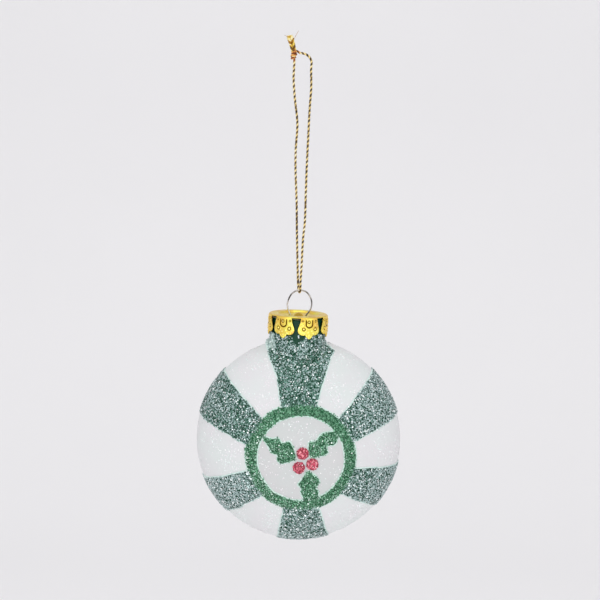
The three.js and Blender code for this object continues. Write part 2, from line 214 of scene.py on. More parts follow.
# A groove in the shape of a U down the petal's middle, and a row of beads above its edge
GROOVE_TOP = 0.8
GROOVE_FOOT = 2.6
GROOVE_HALF = 1.3
GROOVE_DEPTH = 0.32
GROOVE_WIDTH = 0.24
BEADS_ABOVE_EDGE = 0.5
BEADS_FROM = 4.4
BEAD_PITCH = 0.95
BEAD_RISE = 0.22
BEAD_GROUND = 0.08  # how far the sheet is pressed in between the beads
# How deep the plain sheet and a petal's edge look pressed in, for their colour alone: the plain sheet a
# little duller, and a thin painted shade line along a petal's lower edge
PLAIN_PRESS = -0.045
EDGE_SHADE_PRESS = 0.08

# The sprung wire, bent by hand: its ring in the bauble's frame, from the right leg round to the left
WIRE_RADIUS = 0.29
WIRE_RING = [
    (2.9, 48.9), (3.9, 50.3), (4.7, 51.6), (5.08, 53.1), (5.09, 54.5), (4.7, 56.0), (3.97, 57.2),
    (2.88, 58.3), (1.5, 58.78), (0.36, 58.84), (-0.9, 58.6), (-2.41, 57.65), (-3.34, 56.36),
    (-3.89, 55.1), (-4.26, 53.85), (-4.36, 53.5), (-4.3, 53.15), (-4.06, 51.8), (-3.64, 50.3),
    (-3.1, 49.0),
]
LEG_ROUTE = [(3.4, 47.6), (5.3, 43.8), (7.6, 37.9)]

# The cord
CORD_DIAMETER = 0.9
CORD_LAY = 1.9
CORD_PLIES = 4
PLY_SIDES = 7
PLY_SQUEEZE = 1.06  # how much thicker a ply is than plies that only touch
# A ply's shade, from 0 for dark to 1 for bright: its middle, how far the plies differ from it, partly
# their own colours and partly a painted highlight and shade, how far each changes along its run, and over
# what length
PLY_SHADE = 0.48
PLY_CONTRAST = 0.3
PLY_CHANGE = 0.4
PLY_CHANGE_RUN = 1.1
CORD_ROUTE = [
    (-0.75, 0, 0.35), (0.2, 0, 0.2), (1.5, 0, -0.15), (2.85, 0, -1.1), (3.65, 0, -2.7),
    (3.55, -0.1, -5.8), (3.6, -0.2, -12.2), (3.0, -0.4, -20.7), (2.5, -0.6, -30.6), (2.0, -0.9, -40.6),
    (1.6, -1.1, -51.4), (1.25, -1.4, -62.3), (0.5, -1.6, -69.6), (0.0, -1.8, -79.2), (-0.4, -1.9, -85.2),
    (-0.45, -1.9, -87.7), (-0.55, -1.35, -89.05), (-0.85, 0, -89.65), (-1.15, 1.35, -89.05),
    (-1.3, 1.9, -87.7), (-1.4, 1.9, -85.2), (-1.6, 1.8, -77.0), (-1.8, 1.6, -65.9), (-1.9, 1.3, -55.0),
    (-2.3, 1.0, -42.8), (-2.2, 0.8, -34.9), (-1.6, 0.6, -25.6), (-2.6, 0.4, -15.7), (-3.0, 0.2, -8.7),
    (-2.8, 0, -4.6), (-2.7, 0, -2.7),
]
KNOT_CENTRE = (-2.85, 0.0, -0.15)
KNOT_RADIUS = 0.78
KNOT_PITCH = 2.1
KNOT_TURNS = 1.3
KNOT_WIDTH = 1.1  # across, over its depth
KNOT_TAPER = 0.25
KNOT_LEAN = 0.14
KNOT_TILT = 0.3
KNOT_CORE = [(-2.7, 0, -2.75), (-2.8, 0.1, -1.2), (-2.8, -0.1, 0.2), (-2.95, 0, 1.4)]
KNOT_BRANCH = [(-3.2, -0.5, 0.5), (-2.3, -0.85, 0.85), (-1.4, -0.5, 0.75), (-0.75, 0, 0.35)]
TAILS = {
    "cord_tail_left": [
        (-3.4, 0, 1.0), (-3.72, 0, 2.2), (-4.23, 0.05, 3.9), (-4.75, 0.05, 5.6), (-5.0, 0, 6.8),
    ],
    "cord_tail_right": [
        (-2.5, 0, 1.0), (-2.75, 0, 2.4), (-3.05, -0.05, 3.9), (-3.6, -0.05, 5.7), (-4.05, 0, 6.9),
    ],
}
STRAY_FIBRES = {
    "cord_tail_left": [(-4.9, 0, 6.0), (-5.6, -0.1, 6.4), (-6.4, 0, 6.75)],
    "cord_tail_right": [(-3.2, -0.2, 4.6), (-2.5, -0.3, 5.9), (-1.8, -0.2, 7.2), (-1.1, 0, 8.4)],
}
FRAYED_LAY = 2.3
FRAYED_FROM = 0.45  # the share of a cut end after which it opens
FRAYED_ARM = (0.32, 0.1)  # from the end's middle line to a ply's, and how much farther when open
FIBRES_PER_PLY = 7
FIBRE_REACH = (0.19, 0.14)  # from a ply's middle line to a fibre's, and how much farther when open
FIBRE_SPREADS = (0.3, 1.4)
FIBRE_LENGTHS = (0.86, 1.0)
FIBRE_LAY = 1.7  # how many times faster a fibre turns than its ply
FIBRE_RADIUS = 0.09
FIBRE_SIDES = 5
ROUTE_STEP = 0.16

# The photograph's camera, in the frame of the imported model
CAMERA_PLACE = (-0.606, -344.99, -49.27)
CAMERA_PITCH = 7.17
CAMERA_LENS = 54.0
SENSOR = 36.0

# Soft square lights: where each stands and what it faces, in metres, its side and its power
LIGHTS = {
    "ceiling_panel": ((0.0, -0.25, 0.95), (0, 0, -0.13), 1.1, 2.4),
    "front_panel": ((-0.15, -1.3, 0.55), (0, 0, -0.13), 1.3, 0.5),
    "front_left_panel": ((-0.75, -0.85, 0.35), (0, 0, -0.14), 0.45, 0.8),
    "front_right_panel": ((0.8, -0.6, 0.1), (0, 0, -0.14), 0.3, 0.5),
    "low_panel": ((0.0, -0.55, -0.37), (0, 0, -0.12), 0.4, 1.1),
}
ROOM_LIGHT = (0.985, 0.985, 1.0, 1.0)
ROOM_STRENGTH = 0.87

# The disc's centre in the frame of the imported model
glass_low, glass_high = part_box("glass_bulb")
HUNG = np.array([(glass_low.x + glass_high.x) / 2, 0, glass_low.z + DISC_RADIUS * MM]) / MM


# Meshes from points

def add_object(name, data):
    thing = bpy.data.objects.new(name, data)
    bpy.context.scene.collection.objects.link(thing)
    return thing


def make_object(name, points, faces, materials, hung=True):
    """A mesh object from points in millimetres, in the bauble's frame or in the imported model's."""
    placed = (np.asarray(points, float) + (HUNG if hung else 0)) * MM
    mesh = bpy.data.meshes.new(name)
    mesh.from_pydata(placed.tolist(), [], [list(f) for f in faces])
    mesh.validate()
    for material in materials:
        mesh.materials.append(material)
    mesh.polygons.foreach_set("use_smooth", [True] * len(mesh.polygons))
    mesh.update()
    return add_object(name, mesh)


def add_attribute(thing, name, values):
    attribute = thing.data.attributes.new(name, "FLOAT", "POINT")
    attribute.data.foreach_set("value", np.asarray(values, np.float32))


def evaluated_mesh(thing):
    """A copy of an object's mesh as its modifiers leave it."""
    depsgraph = bpy.context.evaluated_depsgraph_get()
    return bpy.data.meshes.new_from_object(thing.evaluated_get(depsgraph))


def turn_outwards(thing):
    """Makes a closed mesh's faces agree and point out."""
    shape = bmesh.new()
    shape.from_mesh(thing.data)
    bmesh.ops.recalc_face_normals(shape, faces=shape.faces)
    shape.to_mesh(thing.data)
    shape.free()


def around(count):
    """Angles at even steps round a full turn."""
    return np.arange(count) * 2 * math.pi / count


def grid_faces(rows, columns, wrap):
    """Quads over a grid of points stored row by row."""
    faces = []
    for row in range(rows - 1):
        for column in range(columns if wrap else columns - 1):
            a = row * columns + column
            b = row * columns + (column + 1) % columns
            faces.append((a, b, b + columns, a + columns))
    return faces


def joined(parts):
    """Several (points, faces) as one."""
    points, faces, count = [], [], 0
    for part_points, part_faces in parts:
        points.append(np.asarray(part_points, float))
        faces += [tuple(i + count for i in f) for f in part_faces]
        count += len(part_points)
    return np.concatenate(points), faces


def closed_patch(points, faces, foot_points):
    """A skin given a foot under it and a wall all round its edges."""
    count = len(points)
    edges = {}
    for face in faces:
        for a, b in zip(face, face[1:] + face[:1]):
            edges[(a, b)] = True
    walls = [(b, a, a + count, b + count) for a, b in edges if (b, a) not in edges]
    under = [tuple(i + count for i in reversed(face)) for face in faces]
    return np.concatenate([points, foot_points]), list(faces) + under + walls


def triangle_net(loops, inner, kind):
    """A triangle net over closed loops of corners and the points between them, all in one plane."""
    verts, edges = [], []
    for loop in loops:
        edges += [(len(verts) + i, len(verts) + (i + 1) % len(loop)) for i in range(len(loop))]
        verts += [Vector(p) for p in loop]
    verts += [Vector(p) for p in inner]
    points, _, faces, *_ = delaunay_2d_cdt(verts, edges, [], kind, 1e-5)
    return np.array([p[:] for p in points]), [tuple(f) for f in faces]


def run_length(line):
    """How far along a line each of its points lies."""
    return np.concatenate([[0], np.cumsum(np.linalg.norm(np.diff(line, axis=0), axis=1))])


def smooth_route(points, spacing):
    """A centripetal Catmull-Rom curve through the points, at even steps of about the spacing."""
    p = np.array(points, float)
    p = np.vstack([2 * p[0] - p[1], p, 2 * p[-1] - p[-2]])
    line = []
    for i in range(1, len(p) - 2):
        knots = np.cumsum([0] + [math.sqrt(np.linalg.norm(p[i + k] - p[i + k - 1])) for k in range(3)])
        t0, t1, t2, t3 = knots
        t = np.linspace(t1, t2, 24, endpoint=False)[:, None]
        a1 = (t1 - t) / (t1 - t0) * p[i - 1] + (t - t0) / (t1 - t0) * p[i]
        a2 = (t2 - t) / (t2 - t1) * p[i] + (t - t1) / (t2 - t1) * p[i + 1]
        a3 = (t3 - t) / (t3 - t2) * p[i + 1] + (t - t2) / (t3 - t2) * p[i + 2]
        b1 = (t2 - t) / (t2 - t0) * a1 + (t - t0) / (t2 - t0) * a2
        b2 = (t3 - t) / (t3 - t1) * a2 + (t - t1) / (t3 - t1) * a3
        line.append((t2 - t) / (t2 - t1) * b1 + (t - t1) / (t2 - t1) * b2)
    line = np.vstack(line + [p[-2:-1]])
    along = run_length(line)
    even = np.linspace(0, along[-1], max(2, round(along[-1] / spacing) + 1))
    return np.column_stack([np.interp(even, along, line[:, k]) for k in range(3)])


def carried_frames(line):
    """Two directions square to a line at each of its points, which don't twist along it."""
    tangents = np.gradient(line, axis=0)
    tangents /= np.linalg.norm(tangents, axis=1)[:, None]
    side = np.cross(tangents[0], (0.0, 1.0, 0.0) if abs(tangents[0][1]) < 0.9 else (1.0, 0.0, 0.0))
    sides = []
    for tangent in tangents:
        side = side - tangent * side.dot(tangent)
        side /= np.linalg.norm(side)
        sides.append(side)
    sides = np.array(sides)
    return sides, np.cross(tangents, sides)


def sweep(line, radius, sides):
    """A round tube along a line, closed at both ends. The radius may be one number or one per point."""
    first, second = carried_frames(line)
    angles = around(sides)
    reach = np.broadcast_to(radius, len(line))[:, None, None]
    cosine, sine = np.cos(angles)[None, :, None], np.sin(angles)[None, :, None]
    points = (line[:, None] + reach * (cosine * first[:, None] + sine * second[:, None])).reshape(-1, 3)
    faces = grid_faces(len(line), sides, True)
    last = (len(line) - 1) * sides
    ends = [tuple(range(sides))[::-1], tuple(range(last, last + sides))]
    return points, faces + ends


# Node trees

def link(tree, output, socket):
    tree.links.new(output, socket)


def feed(tree, value, socket):
    """Gives a socket a plain value, or another node's output."""
    if isinstance(value, bpy.types.NodeSocket):
        link(tree, value, socket)
    else:
        socket.default_value = value


def add_node(tree, kind, inputs=None, **settings):
    """A node with its settings, and its inputs given as plain values or as other nodes' outputs."""
    node = tree.nodes.new(kind)
    for name, value in settings.items():
        setattr(node, name, value)
    for name, value in (inputs or {}).items():
        feed(tree, value, node.inputs[name])
    return node


def new_group(name, kind, inputs, outputs):
    """An empty node group with named inputs and outputs, and its two end nodes."""
    tree = bpy.data.node_groups.new(name, kind)
    for socket_name, socket_type, value in inputs:
        socket = tree.interface.new_socket(socket_name, in_out="INPUT", socket_type=socket_type)
        if value is not None:
            socket.default_value = value
    for socket_name, socket_type in outputs:
        tree.interface.new_socket(socket_name, in_out="OUTPUT", socket_type=socket_type)
    return tree, tree.nodes.new("NodeGroupInput"), tree.nodes.new("NodeGroupOutput")


FLOAT, COLOR, WHOLE = "NodeSocketFloat", "NodeSocketColor", "NodeSocketInt"
GEOMETRY, MATERIAL = "NodeSocketGeometry", "NodeSocketMaterial"


def mixed(tree, share, low, high):
    """A blend of two colours, each a plain value or another node's output."""
    inputs = {"Factor": share, "A": low, "B": high}
    return add_node(tree, "ShaderNodeMix", inputs, data_type="RGBA").outputs["Result"]


def ranged(tree, value, low, high, to_low=0.0, to_high=1.0):
    ends = {"Value": value, "From Min": low, "From Max": high, "To Min": to_low, "To Max": to_high}
    return add_node(tree, "ShaderNodeMapRange", ends).outputs[0]


def reckoned(tree, operation, *values):
    return add_node(tree, "ShaderNodeMath", dict(enumerate(values)), operation=operation).outputs[0]


TONE_NAMES = ("Deep", "Middle", "Pale", "Bright")


def tone_group():
    """Four tones of a glitter or thread, picked by a shade from 0 to 1."""
    inputs = [("Shade", FLOAT, 0.5), ("Pale From", FLOAT, 0.6), ("Bright From", FLOAT, 0.93)]
    inputs += [(name, COLOR, None) for name in TONE_NAMES]
    tree, start, end = new_group("tones_by_shade", "ShaderNodeTree", inputs, [("Color", COLOR)])
    given = start.outputs
    body = mixed(tree, ranged(tree, given["Shade"], 0.05, 0.45), given["Deep"], given["Middle"])
    over = reckoned(tree, "GREATER_THAN", given["Shade"], given["Pale From"])
    top = reckoned(tree, "GREATER_THAN", given["Shade"], given["Bright From"])
    lit = mixed(tree, over, body, given["Pale"])
    link(tree, mixed(tree, top, lit, given["Bright"]), end.inputs["Color"])
    return tree


TONES = tone_group()


def new_material(name, **values):
    """A material with a Principled BSDF whose plain values are set on its own sockets."""
    material = bpy.data.materials.new(name)
    material.use_nodes = True
    shader = material.node_tree.nodes["Principled BSDF"]
    for socket, value in values.items():
        shader.inputs[socket.replace("_", " ")].default_value = value
    return material, material.node_tree, shader


def rgba(red, green, blue):
    """A colour given as it looks on screen, from 0 to 255, as linear values."""
    seen = [c / 255 for c in (red, green, blue)]
    return (*[((c + 0.055) / 1.055) ** 2.4 if c > 0.04 else c / 12.92 for c in seen], 1.0)


def toned(tree, shade, pale_from, bright_from, tones):
    """The tone group with its four tones, deep, middle, pale and bright."""
    inputs = {"Shade": shade, "Pale From": pale_from, "Bright From": bright_from}
    inputs.update(zip(TONE_NAMES, tones))
    return add_node(tree, "ShaderNodeGroup", inputs, node_tree=TONES).outputs["Color"]


def read_attribute(tree, name):
    return add_node(tree, "ShaderNodeAttribute", attribute_name=name).outputs["Fac"]


def bump_from(tree, shader, height, strength, distance):
    inputs = {"Strength": strength, "Distance": distance, "Height": height}
    bump = add_node(tree, "ShaderNodeBump", inputs)
    link(tree, bump.outputs["Normal"], shader.inputs["Normal"])


def fine_noise(tree, scale, detail=2.0):
    place = add_node(tree, "ShaderNodeTexCoord")
    inputs = {"Vector": place.outputs["Object"], "Scale": scale, "Detail": detail}
    return add_node(tree, "ShaderNodeTexNoise", inputs).outputs["Fac"]


def flake_material(name, pale_from, bright_from, tones, **values):
    """Glitter in four tones: the more silver and painted sheen a flake's place has, the more often it is
    a pale one.
    """
    material, tree, shader = new_material(name, **values)
    silver_and_sheen = read_attribute(tree, "silver_and_sheen")
    limit = reckoned(tree, "SUBTRACT", pale_from, silver_and_sheen)
    # the deep tone grows paler with more silver and painted sheen
    deep = mixed(tree, ranged(tree, silver_and_sheen, 0.0, 0.7), tones[0], tones[1])
    top_limit = reckoned(tree, "MULTIPLY_ADD", silver_and_sheen, -0.15, bright_from)
    color = toned(tree, read_attribute(tree, "shade"), limit, top_limit, (deep, *tones[1:]))
    link(tree, color, shader.inputs["Base Color"])
    return material


def glue_material(name, fringe, inside, **values):
    """Glue that is pale and thin outside the painted outline."""
    material, tree, shader = new_material(name, **values)
    grain = fine_noise(tree, 1100)
    inward = reckoned(tree, "MULTIPLY_ADD", grain, 0.7, read_attribute(tree, "inward"))
    link(tree, mixed(tree, ranged(tree, inward, 0.2, 0.5), fringe, inside), shader.inputs["Base Color"])
    bump_from(tree, shader, grain, 0.4, 0.0002)
    return material


GREEN_FLAKES = flake_material(
    "green_glitter", 0.62, 0.93,
    (rgba(26, 76, 60), rgba(84, 132, 116), rgba(160, 184, 182), rgba(240, 248, 248)),
    Metallic=0.5, Roughness=0.3, Coat_Weight=0.8, Coat_Roughness=0.15,
)
LEAF_FLAKES = flake_material(
    "leaf_glitter", 0.76, 0.98,
    (rgba(28, 90, 58), rgba(82, 146, 108), rgba(148, 188, 166), rgba(228, 244, 236)),
    Metallic=0.45, Roughness=0.3, Coat_Weight=0.8, Coat_Roughness=0.15,
)
RED_FLAKES = flake_material(
    "red_glitter", 0.68, 0.96,
    (rgba(140, 14, 42), rgba(206, 66, 96), rgba(236, 138, 150), rgba(255, 214, 222)),
    Metallic=0.35, Roughness=0.32, Coat_Weight=0.7, Coat_Roughness=0.15,
)
PEARL_FLAKES = flake_material(
    "pearl_glitter", 0.5, 0.8,
    (rgba(240, 236, 242), rgba(250, 240, 246), rgba(238, 250, 248), rgba(255, 255, 255)),
    Metallic=0.0, Roughness=0.2, Coat_Weight=0.8, Coat_Roughness=0.08,
)
GREEN_GLUE = glue_material(
    "green_glue", rgba(208, 229, 223), rgba(8, 62, 42),
    Roughness=0.4, Specular_IOR_Level=0.15, Coat_Weight=0.05,
)
LEAF_GLUE = glue_material(
    "leaf_glue", rgba(203, 228, 218), rgba(16, 78, 46),
    Roughness=0.4, Specular_IOR_Level=0.2, Coat_Weight=0.1,
)
RED_GLUE = glue_material(
    "red_glue", rgba(228, 190, 198), rgba(140, 16, 42),
    Roughness=0.35, Coat_Weight=0.3,
)
# The paints of the roundel: each one's glue, flakes and slot
LEAF_PAINT = (LEAF_GLUE, LEAF_FLAKES, "leaf_glitter")
BERRY_PAINT = (RED_GLUE, RED_FLAKES, "red_glitter")


def glass_material():
    """Frosted glass, milky, with a trace of pink and green in patches."""
    material, tree, shader = new_material(
        "frosted_glass", Roughness=0.5, IOR=1.45, Transmission_Weight=0.1,
        Coat_Weight=0.15, Coat_Roughness=0.35,
    )
    share = ranged(tree, fine_noise(tree, 90, 3.0), 0.35, 0.65)
    outer = mixed(tree, share, rgba(221, 226, 225), rgba(224, 223, 225))
    inner = mixed(tree, share, rgba(206, 210, 209), rgba(209, 208, 209))
    link(tree, mixed(tree, read_attribute(tree, "in_ring"), outer, inner), shader.inputs["Base Color"])
    bump_from(tree, shader, fine_noise(tree, 2600, 1.0), 0.35, 0.0001)
    return material


def cap_material():
    """Gold sheet, lemon with a painted highlight where it is pressed out, olive with painted shade where
    it is pressed in, and deeper gold at the sides as a painted reflection.
    """
    material, tree, shader = new_material("gold_cap", Metallic=1.0)
    smudge = fine_noise(tree, 420, 4.0)
    warm = ranged(tree, fine_noise(tree, 160, 2.0), 0.42, 0.62)
    sheet = mixed(tree, warm, rgba(255, 240, 108), rgba(243, 203, 92))
    press = read_attribute(tree, "press")
    # deeper gold towards the left and right sides: a painted reflection
    painted_side_reflection = ranged(tree, read_attribute(tree, "painted_side_reflection"), 0.74, 0.9)
    # raised marks turn pale lemon: a painted highlight
    lit = mixed(tree, ranged(tree, press, 0.06, 0.2), sheet, rgba(255, 250, 176))
    with_side_reflection = mixed(tree, painted_side_reflection, lit, rgba(250, 214, 98))
    # pressed-in marks and grooves turn olive: a painted shade
    color = mixed(tree, ranged(tree, press, -0.14, -0.02), rgba(116, 84, 16), with_side_reflection)
    link(tree, color, shader.inputs["Base Color"])
    link(tree, ranged(tree, smudge, 0.0, 1.0, 0.24, 0.44), shader.inputs["Roughness"])
    bump_from(tree, shader, smudge, 0.3, 0.0002)
    return material


def wire_material():
    """Drawn steel with faint streaks, dark in places."""
    material, tree, shader = new_material("steel_wire", Metallic=1.0)
    streak = fine_noise(tree, 1500, 3.0)
    link(tree, ranged(tree, streak, 0.0, 1.0, 0.15, 0.4), shader.inputs["Roughness"])
    patch = ranged(tree, fine_noise(tree, 260, 1.0), 0.42, 0.55)
    link(tree, mixed(tree, patch, rgba(84, 82, 82), rgba(206, 200, 197)), shader.inputs["Base Color"])
    return material


def thread_material(name, tones, pale_from):
    """Metallic thread whose plies are bright and dark in turn, partly their own colours and partly a
    painted highlight and shade.
    """
    material, tree, shader = new_material(name, Metallic=0.55, Roughness=0.34, Coat_Weight=0.2)
    short = reckoned(tree, "MULTIPLY_ADD", fine_noise(tree, 1500, 1.0), 0.9, -0.45)
    slow = reckoned(tree, "MULTIPLY_ADD", fine_noise(tree, 110, 1.0), 0.8, -0.4)
    shade = reckoned(tree, "ADD", read_attribute(tree, "shade"), reckoned(tree, "ADD", short, slow))
    link(tree, toned(tree, shade, pale_from, 0.97, tones), shader.inputs["Base Color"])
    bump_from(tree, shader, fine_noise(tree, 5200, 1.0), 0.3, 0.00005)
    return material


# Camera, light and backdrop

def make_camera():
    data = bpy.data.cameras.new("camera")
    data.lens = CAMERA_LENS
    data.sensor_width = SENSOR
    data.clip_start = 0.01
    camera = add_object("camera", data)
    camera.location = Vector(CAMERA_PLACE) * MM
    camera.rotation_euler = (math.radians(90 - CAMERA_PITCH), 0, 0)
    bpy.context.scene.camera = camera


def make_light(name, place, aim, size, power):
    data = bpy.data.lights.new(name, "AREA")
    data.shape = "SQUARE"
    data.size = size
    data.energy = power
    light = add_object(name, data)
    light.location = place
    light.rotation_euler = (Vector(aim) - Vector(place)).to_track_quat("-Z", "Y").to_euler()


def make_backdrop():
    """A pale floor that sweeps up behind the bauble, all in one sheet, in metres."""
    half_width, front, back, floor, height, bend = 2.2, -1.8, 1.0, -0.42, 1.9, 0.5
    steps = 24
    profile = [(front, floor)]
    for i in range(steps + 1):
        angle = i / steps * math.pi / 2
        profile.append((back - bend + bend * math.sin(angle), floor + bend - bend * math.cos(angle)))
    profile.append((back, floor + height))
    points = np.array([(x, y, z) for y, z in profile for x in (-half_width, half_width)]) / MM
    material, tree, shader = new_material("pale_backdrop", Roughness=0.9)
    tint = mixed(tree, fine_noise(tree, 6, 1.0), rgba(236, 235, 236), rgba(238, 237, 238))
    link(tree, tint, shader.inputs["Base Color"])
    faces = grid_faces(len(profile), 2, False)
    sheet = make_object("backdrop", points, faces, [material], hung=False)


def make_world():
    world = bpy.data.worlds.new("soft_room")
    world.use_nodes = True
    background = world.node_tree.nodes["Background"]
    background.inputs["Color"].default_value = ROOM_LIGHT
    background.inputs["Strength"].default_value = ROOM_STRENGTH
    bpy.context.scene.world = world
    bpy.context.scene.view_settings.view_transform = "Standard"


# The cord

def ply_shades(ply, along, phase):
    """A ply's shade along it: the plies alternate bright and dark, partly in their own colours and partly
    as a painted highlight and shade, and both change in short runs.
    """
    apart = 5.3  # keeps the plies' noise from matching
    patch = np.array([noise.noise(Vector((a / PLY_CHANGE_RUN, ply * apart, phase))) for a in along])
    # half the plies bright and half dark: partly a painted highlight and shade
    contrast = PLY_CONTRAST if ply < CORD_PLIES // 2 else -PLY_CONTRAST
    return PLY_SHADE + contrast + PLY_CHANGE * patch


def twisted_cord(line, phase=0.0):
    """Round plies laid around a line, with a shade that changes from ply to ply and along each."""
    ply_radius = CORD_DIAMETER / 2 / (1 + 1 / math.sin(math.pi / CORD_PLIES)) * PLY_SQUEEZE
    arm = CORD_DIAMETER / 2 - ply_radius
    first, second = carried_frames(line)
    along = run_length(line)
    parts, shades = [], []
    for ply in range(CORD_PLIES):
        angle = along / CORD_LAY * 2 * math.pi + phase + ply * 2 * math.pi / CORD_PLIES
        middle = line + arm * (np.cos(angle)[:, None] * first + np.sin(angle)[:, None] * second)
        parts.append(sweep(middle, ply_radius, PLY_SIDES))
        shades.append(np.repeat(ply_shades(ply, along, phase), PLY_SIDES))
    points, faces = joined(parts)
    return points, faces, np.concatenate(shades)


def knot_lines():
    """Two cords wound side by side round a short core, a little askew, and the loop's way out of it."""
    lines = []
    turns = np.linspace(0, KNOT_TURNS, 70)
    for start in (0.0, math.pi):
        angle = turns * 2 * math.pi + start
        height = (turns - KNOT_TURNS / 2) * KNOT_PITCH
        swell = 1 - KNOT_TAPER * (height / (KNOT_PITCH * KNOT_TURNS / 2)) ** 2
        x = KNOT_RADIUS * KNOT_WIDTH * swell * np.cos(angle) + KNOT_LEAN * height
        y = KNOT_RADIUS * swell * np.sin(angle)
        z = height + KNOT_TILT * np.cos(angle)
        lines.append(np.column_stack([x, y, z]) + KNOT_CENTRE)
    return lines + [smooth_route(route, 0.1) for route in (KNOT_CORE, KNOT_BRANCH)]


def frayed_end(route, strays, seed):
    """A cut end: its plies keep their twist at the knot and open into fibres towards the tip."""
    rng = np.random.default_rng(seed)
    line = smooth_route(route, ROUTE_STEP)
    share = np.linspace(0, 1, len(line))
    first, second = carried_frames(line)
    along = run_length(line)
    opened = np.clip((share - FRAYED_FROM) / (1 - FRAYED_FROM), 0, 1)

    def beside(middle, arm, angle):
        return middle + (arm * np.cos(angle))[:, None] * first + (arm * np.sin(angle))[:, None] * second

    hand = 1 if seed % 2 else -1
    parts, shades = [], []
    for ply in range(CORD_PLIES):
        angle = hand * along / FRAYED_LAY * 2 * math.pi + ply * 2 * math.pi / CORD_PLIES
        middle = beside(line, FRAYED_ARM[0] + FRAYED_ARM[1] * opened, angle)
        shade = ply_shades(ply, along, seed) + 0.6 * share - 0.08
        for fibre in range(FIBRES_PER_PLY):
            turn = 2 * math.pi * fibre / FIBRES_PER_PLY + angle * FIBRE_LAY
            reach = FIBRE_REACH[0] + FIBRE_REACH[1] * opened * rng.uniform(*FIBRE_SPREADS)
            path = beside(middle, reach, turn)
            path = path[: int(len(path) * rng.uniform(*FIBRE_LENGTHS))]
            parts.append(sweep(path, FIBRE_RADIUS, FIBRE_SIDES))
            shades.append(np.repeat(shade[: len(path)] + rng.normal(0, 0.08), FIBRE_SIDES))
    stray = smooth_route(strays, 0.2)
    parts.append(sweep(stray, FIBRE_RADIUS * 0.8, FIBRE_SIDES))
    shades.append(np.full(len(stray) * FIBRE_SIDES, 0.3))
    points, faces = joined(parts)
    return points, faces, np.concatenate(shades)


def make_cord():
    gold = (rgba(48, 32, 10), rgba(118, 88, 34), rgba(238, 212, 138), rgba(255, 246, 206))
    loop_thread = thread_material("gold_cord", gold, 0.62)
    warm = (rgba(66, 26, 4), rgba(170, 92, 32), rgba(236, 176, 92), rgba(255, 232, 170))
    knot_thread = thread_material("knotted_gold_cord", warm, 0.66)
    ends = (rgba(88, 58, 6), rgba(196, 140, 40), rgba(244, 216, 92), rgba(255, 244, 190))
    end_thread = thread_material("frayed_gold_cord", ends, 0.6)

    line = smooth_route(CORD_ROUTE, ROUTE_STEP)
    points, faces, shades = twisted_cord(line)
    loop = make_object("cord_plies", points, faces, [loop_thread], hung=False)
    add_attribute(loop, "shade", shades)

    parts, shades = [], []
    for i, part in enumerate(knot_lines()):
        points, faces, shade = twisted_cord(part, phase=1.3 * i)
        parts.append((points, faces))
        shades.append(shade)
    points, faces = joined(parts)
    knot = make_object("knot_wraps", points, faces, [knot_thread], hung=False)
    add_attribute(knot, "shade", np.concatenate(shades))

    pieces = [(loop, "cord_loop"), (knot, "cord_knot")]
    for seed, (node, route) in enumerate(TAILS.items()):
        points, faces, shade = frayed_end(route, STRAY_FIBRES[node], seed)
        tail = make_object(f"{node}_fibres", points, faces, [end_thread], hung=False)
        add_attribute(tail, "shade", shade)
        pieces.append((tail, node))
    for piece, node in pieces:
        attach(piece, "cord")
        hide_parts(node)


# The glass

def bulb(polar, turn, offset):
    """Points of the bulb's form grown by an offset: a disc domed front and back with a round neck."""
    polar, turn = np.broadcast_arrays(np.asarray(polar, float), np.asarray(turn, float))
    rim, dome, neck = DISC_RADIUS + offset, HALF_THICKNESS + offset, NECK_RADIUS + offset
    side = (np.cos(turn) / rim) ** 2 + (np.sin(turn) / dome) ** 2
    disc = 1 / np.sqrt(np.sin(polar) ** 2 * side + (np.cos(polar) / rim) ** 2)
    wall = np.where(polar < math.pi / 2, neck / np.maximum(np.sin(polar), 1e-9), 0)
    big, small = np.maximum(disc, wall), np.minimum(disc, wall)
    reach = big * (1 + (small / big) ** NECK_BLEND) ** (1 / NECK_BLEND)
    out = reach * np.sin(polar)
    return np.stack([out * np.cos(turn), out * np.sin(turn), reach * np.cos(polar)], -1)


def on_bulb(points, offset):
    """Moves points along their direction from the disc's centre onto the bulb's form."""
    polar = np.arctan2(np.hypot(points[:, 0], points[:, 1]), points[:, 2])
    return bulb(polar, np.arctan2(points[:, 1], points[:, 0]), offset)


def bulb_rows(offset, top, columns, neck_rows, body_rows):
    """Rows of points round the bulb, from a height on the neck down to just above the bottom."""
    heights = np.linspace(top, NECK_FOOT, neck_rows)
    neck = np.arctan2(NECK_RADIUS + offset, heights)
    body = np.linspace(neck[-1], math.pi, body_rows + 1)[1:-1]
    return bulb(np.concatenate([neck, body])[:, None], around(columns)[None, :], offset)


def bulb_skin(offset, top, columns, neck_rows, body_rows):
    """The bulb's skin, open at the neck's top and closed by a fan at the bottom."""
    rows = bulb_rows(offset, top, columns, neck_rows, body_rows)
    points = np.vstack([rows.reshape(-1, 3), (0, 0, -DISC_RADIUS - offset)])
    last = (len(rows) - 1) * columns
    faces = grid_faces(len(rows), columns, True)
    faces += [(last + i, last + (i + 1) % columns, len(points) - 1) for i in range(columns)]
    return points, [tuple(reversed(f)) for f in faces]


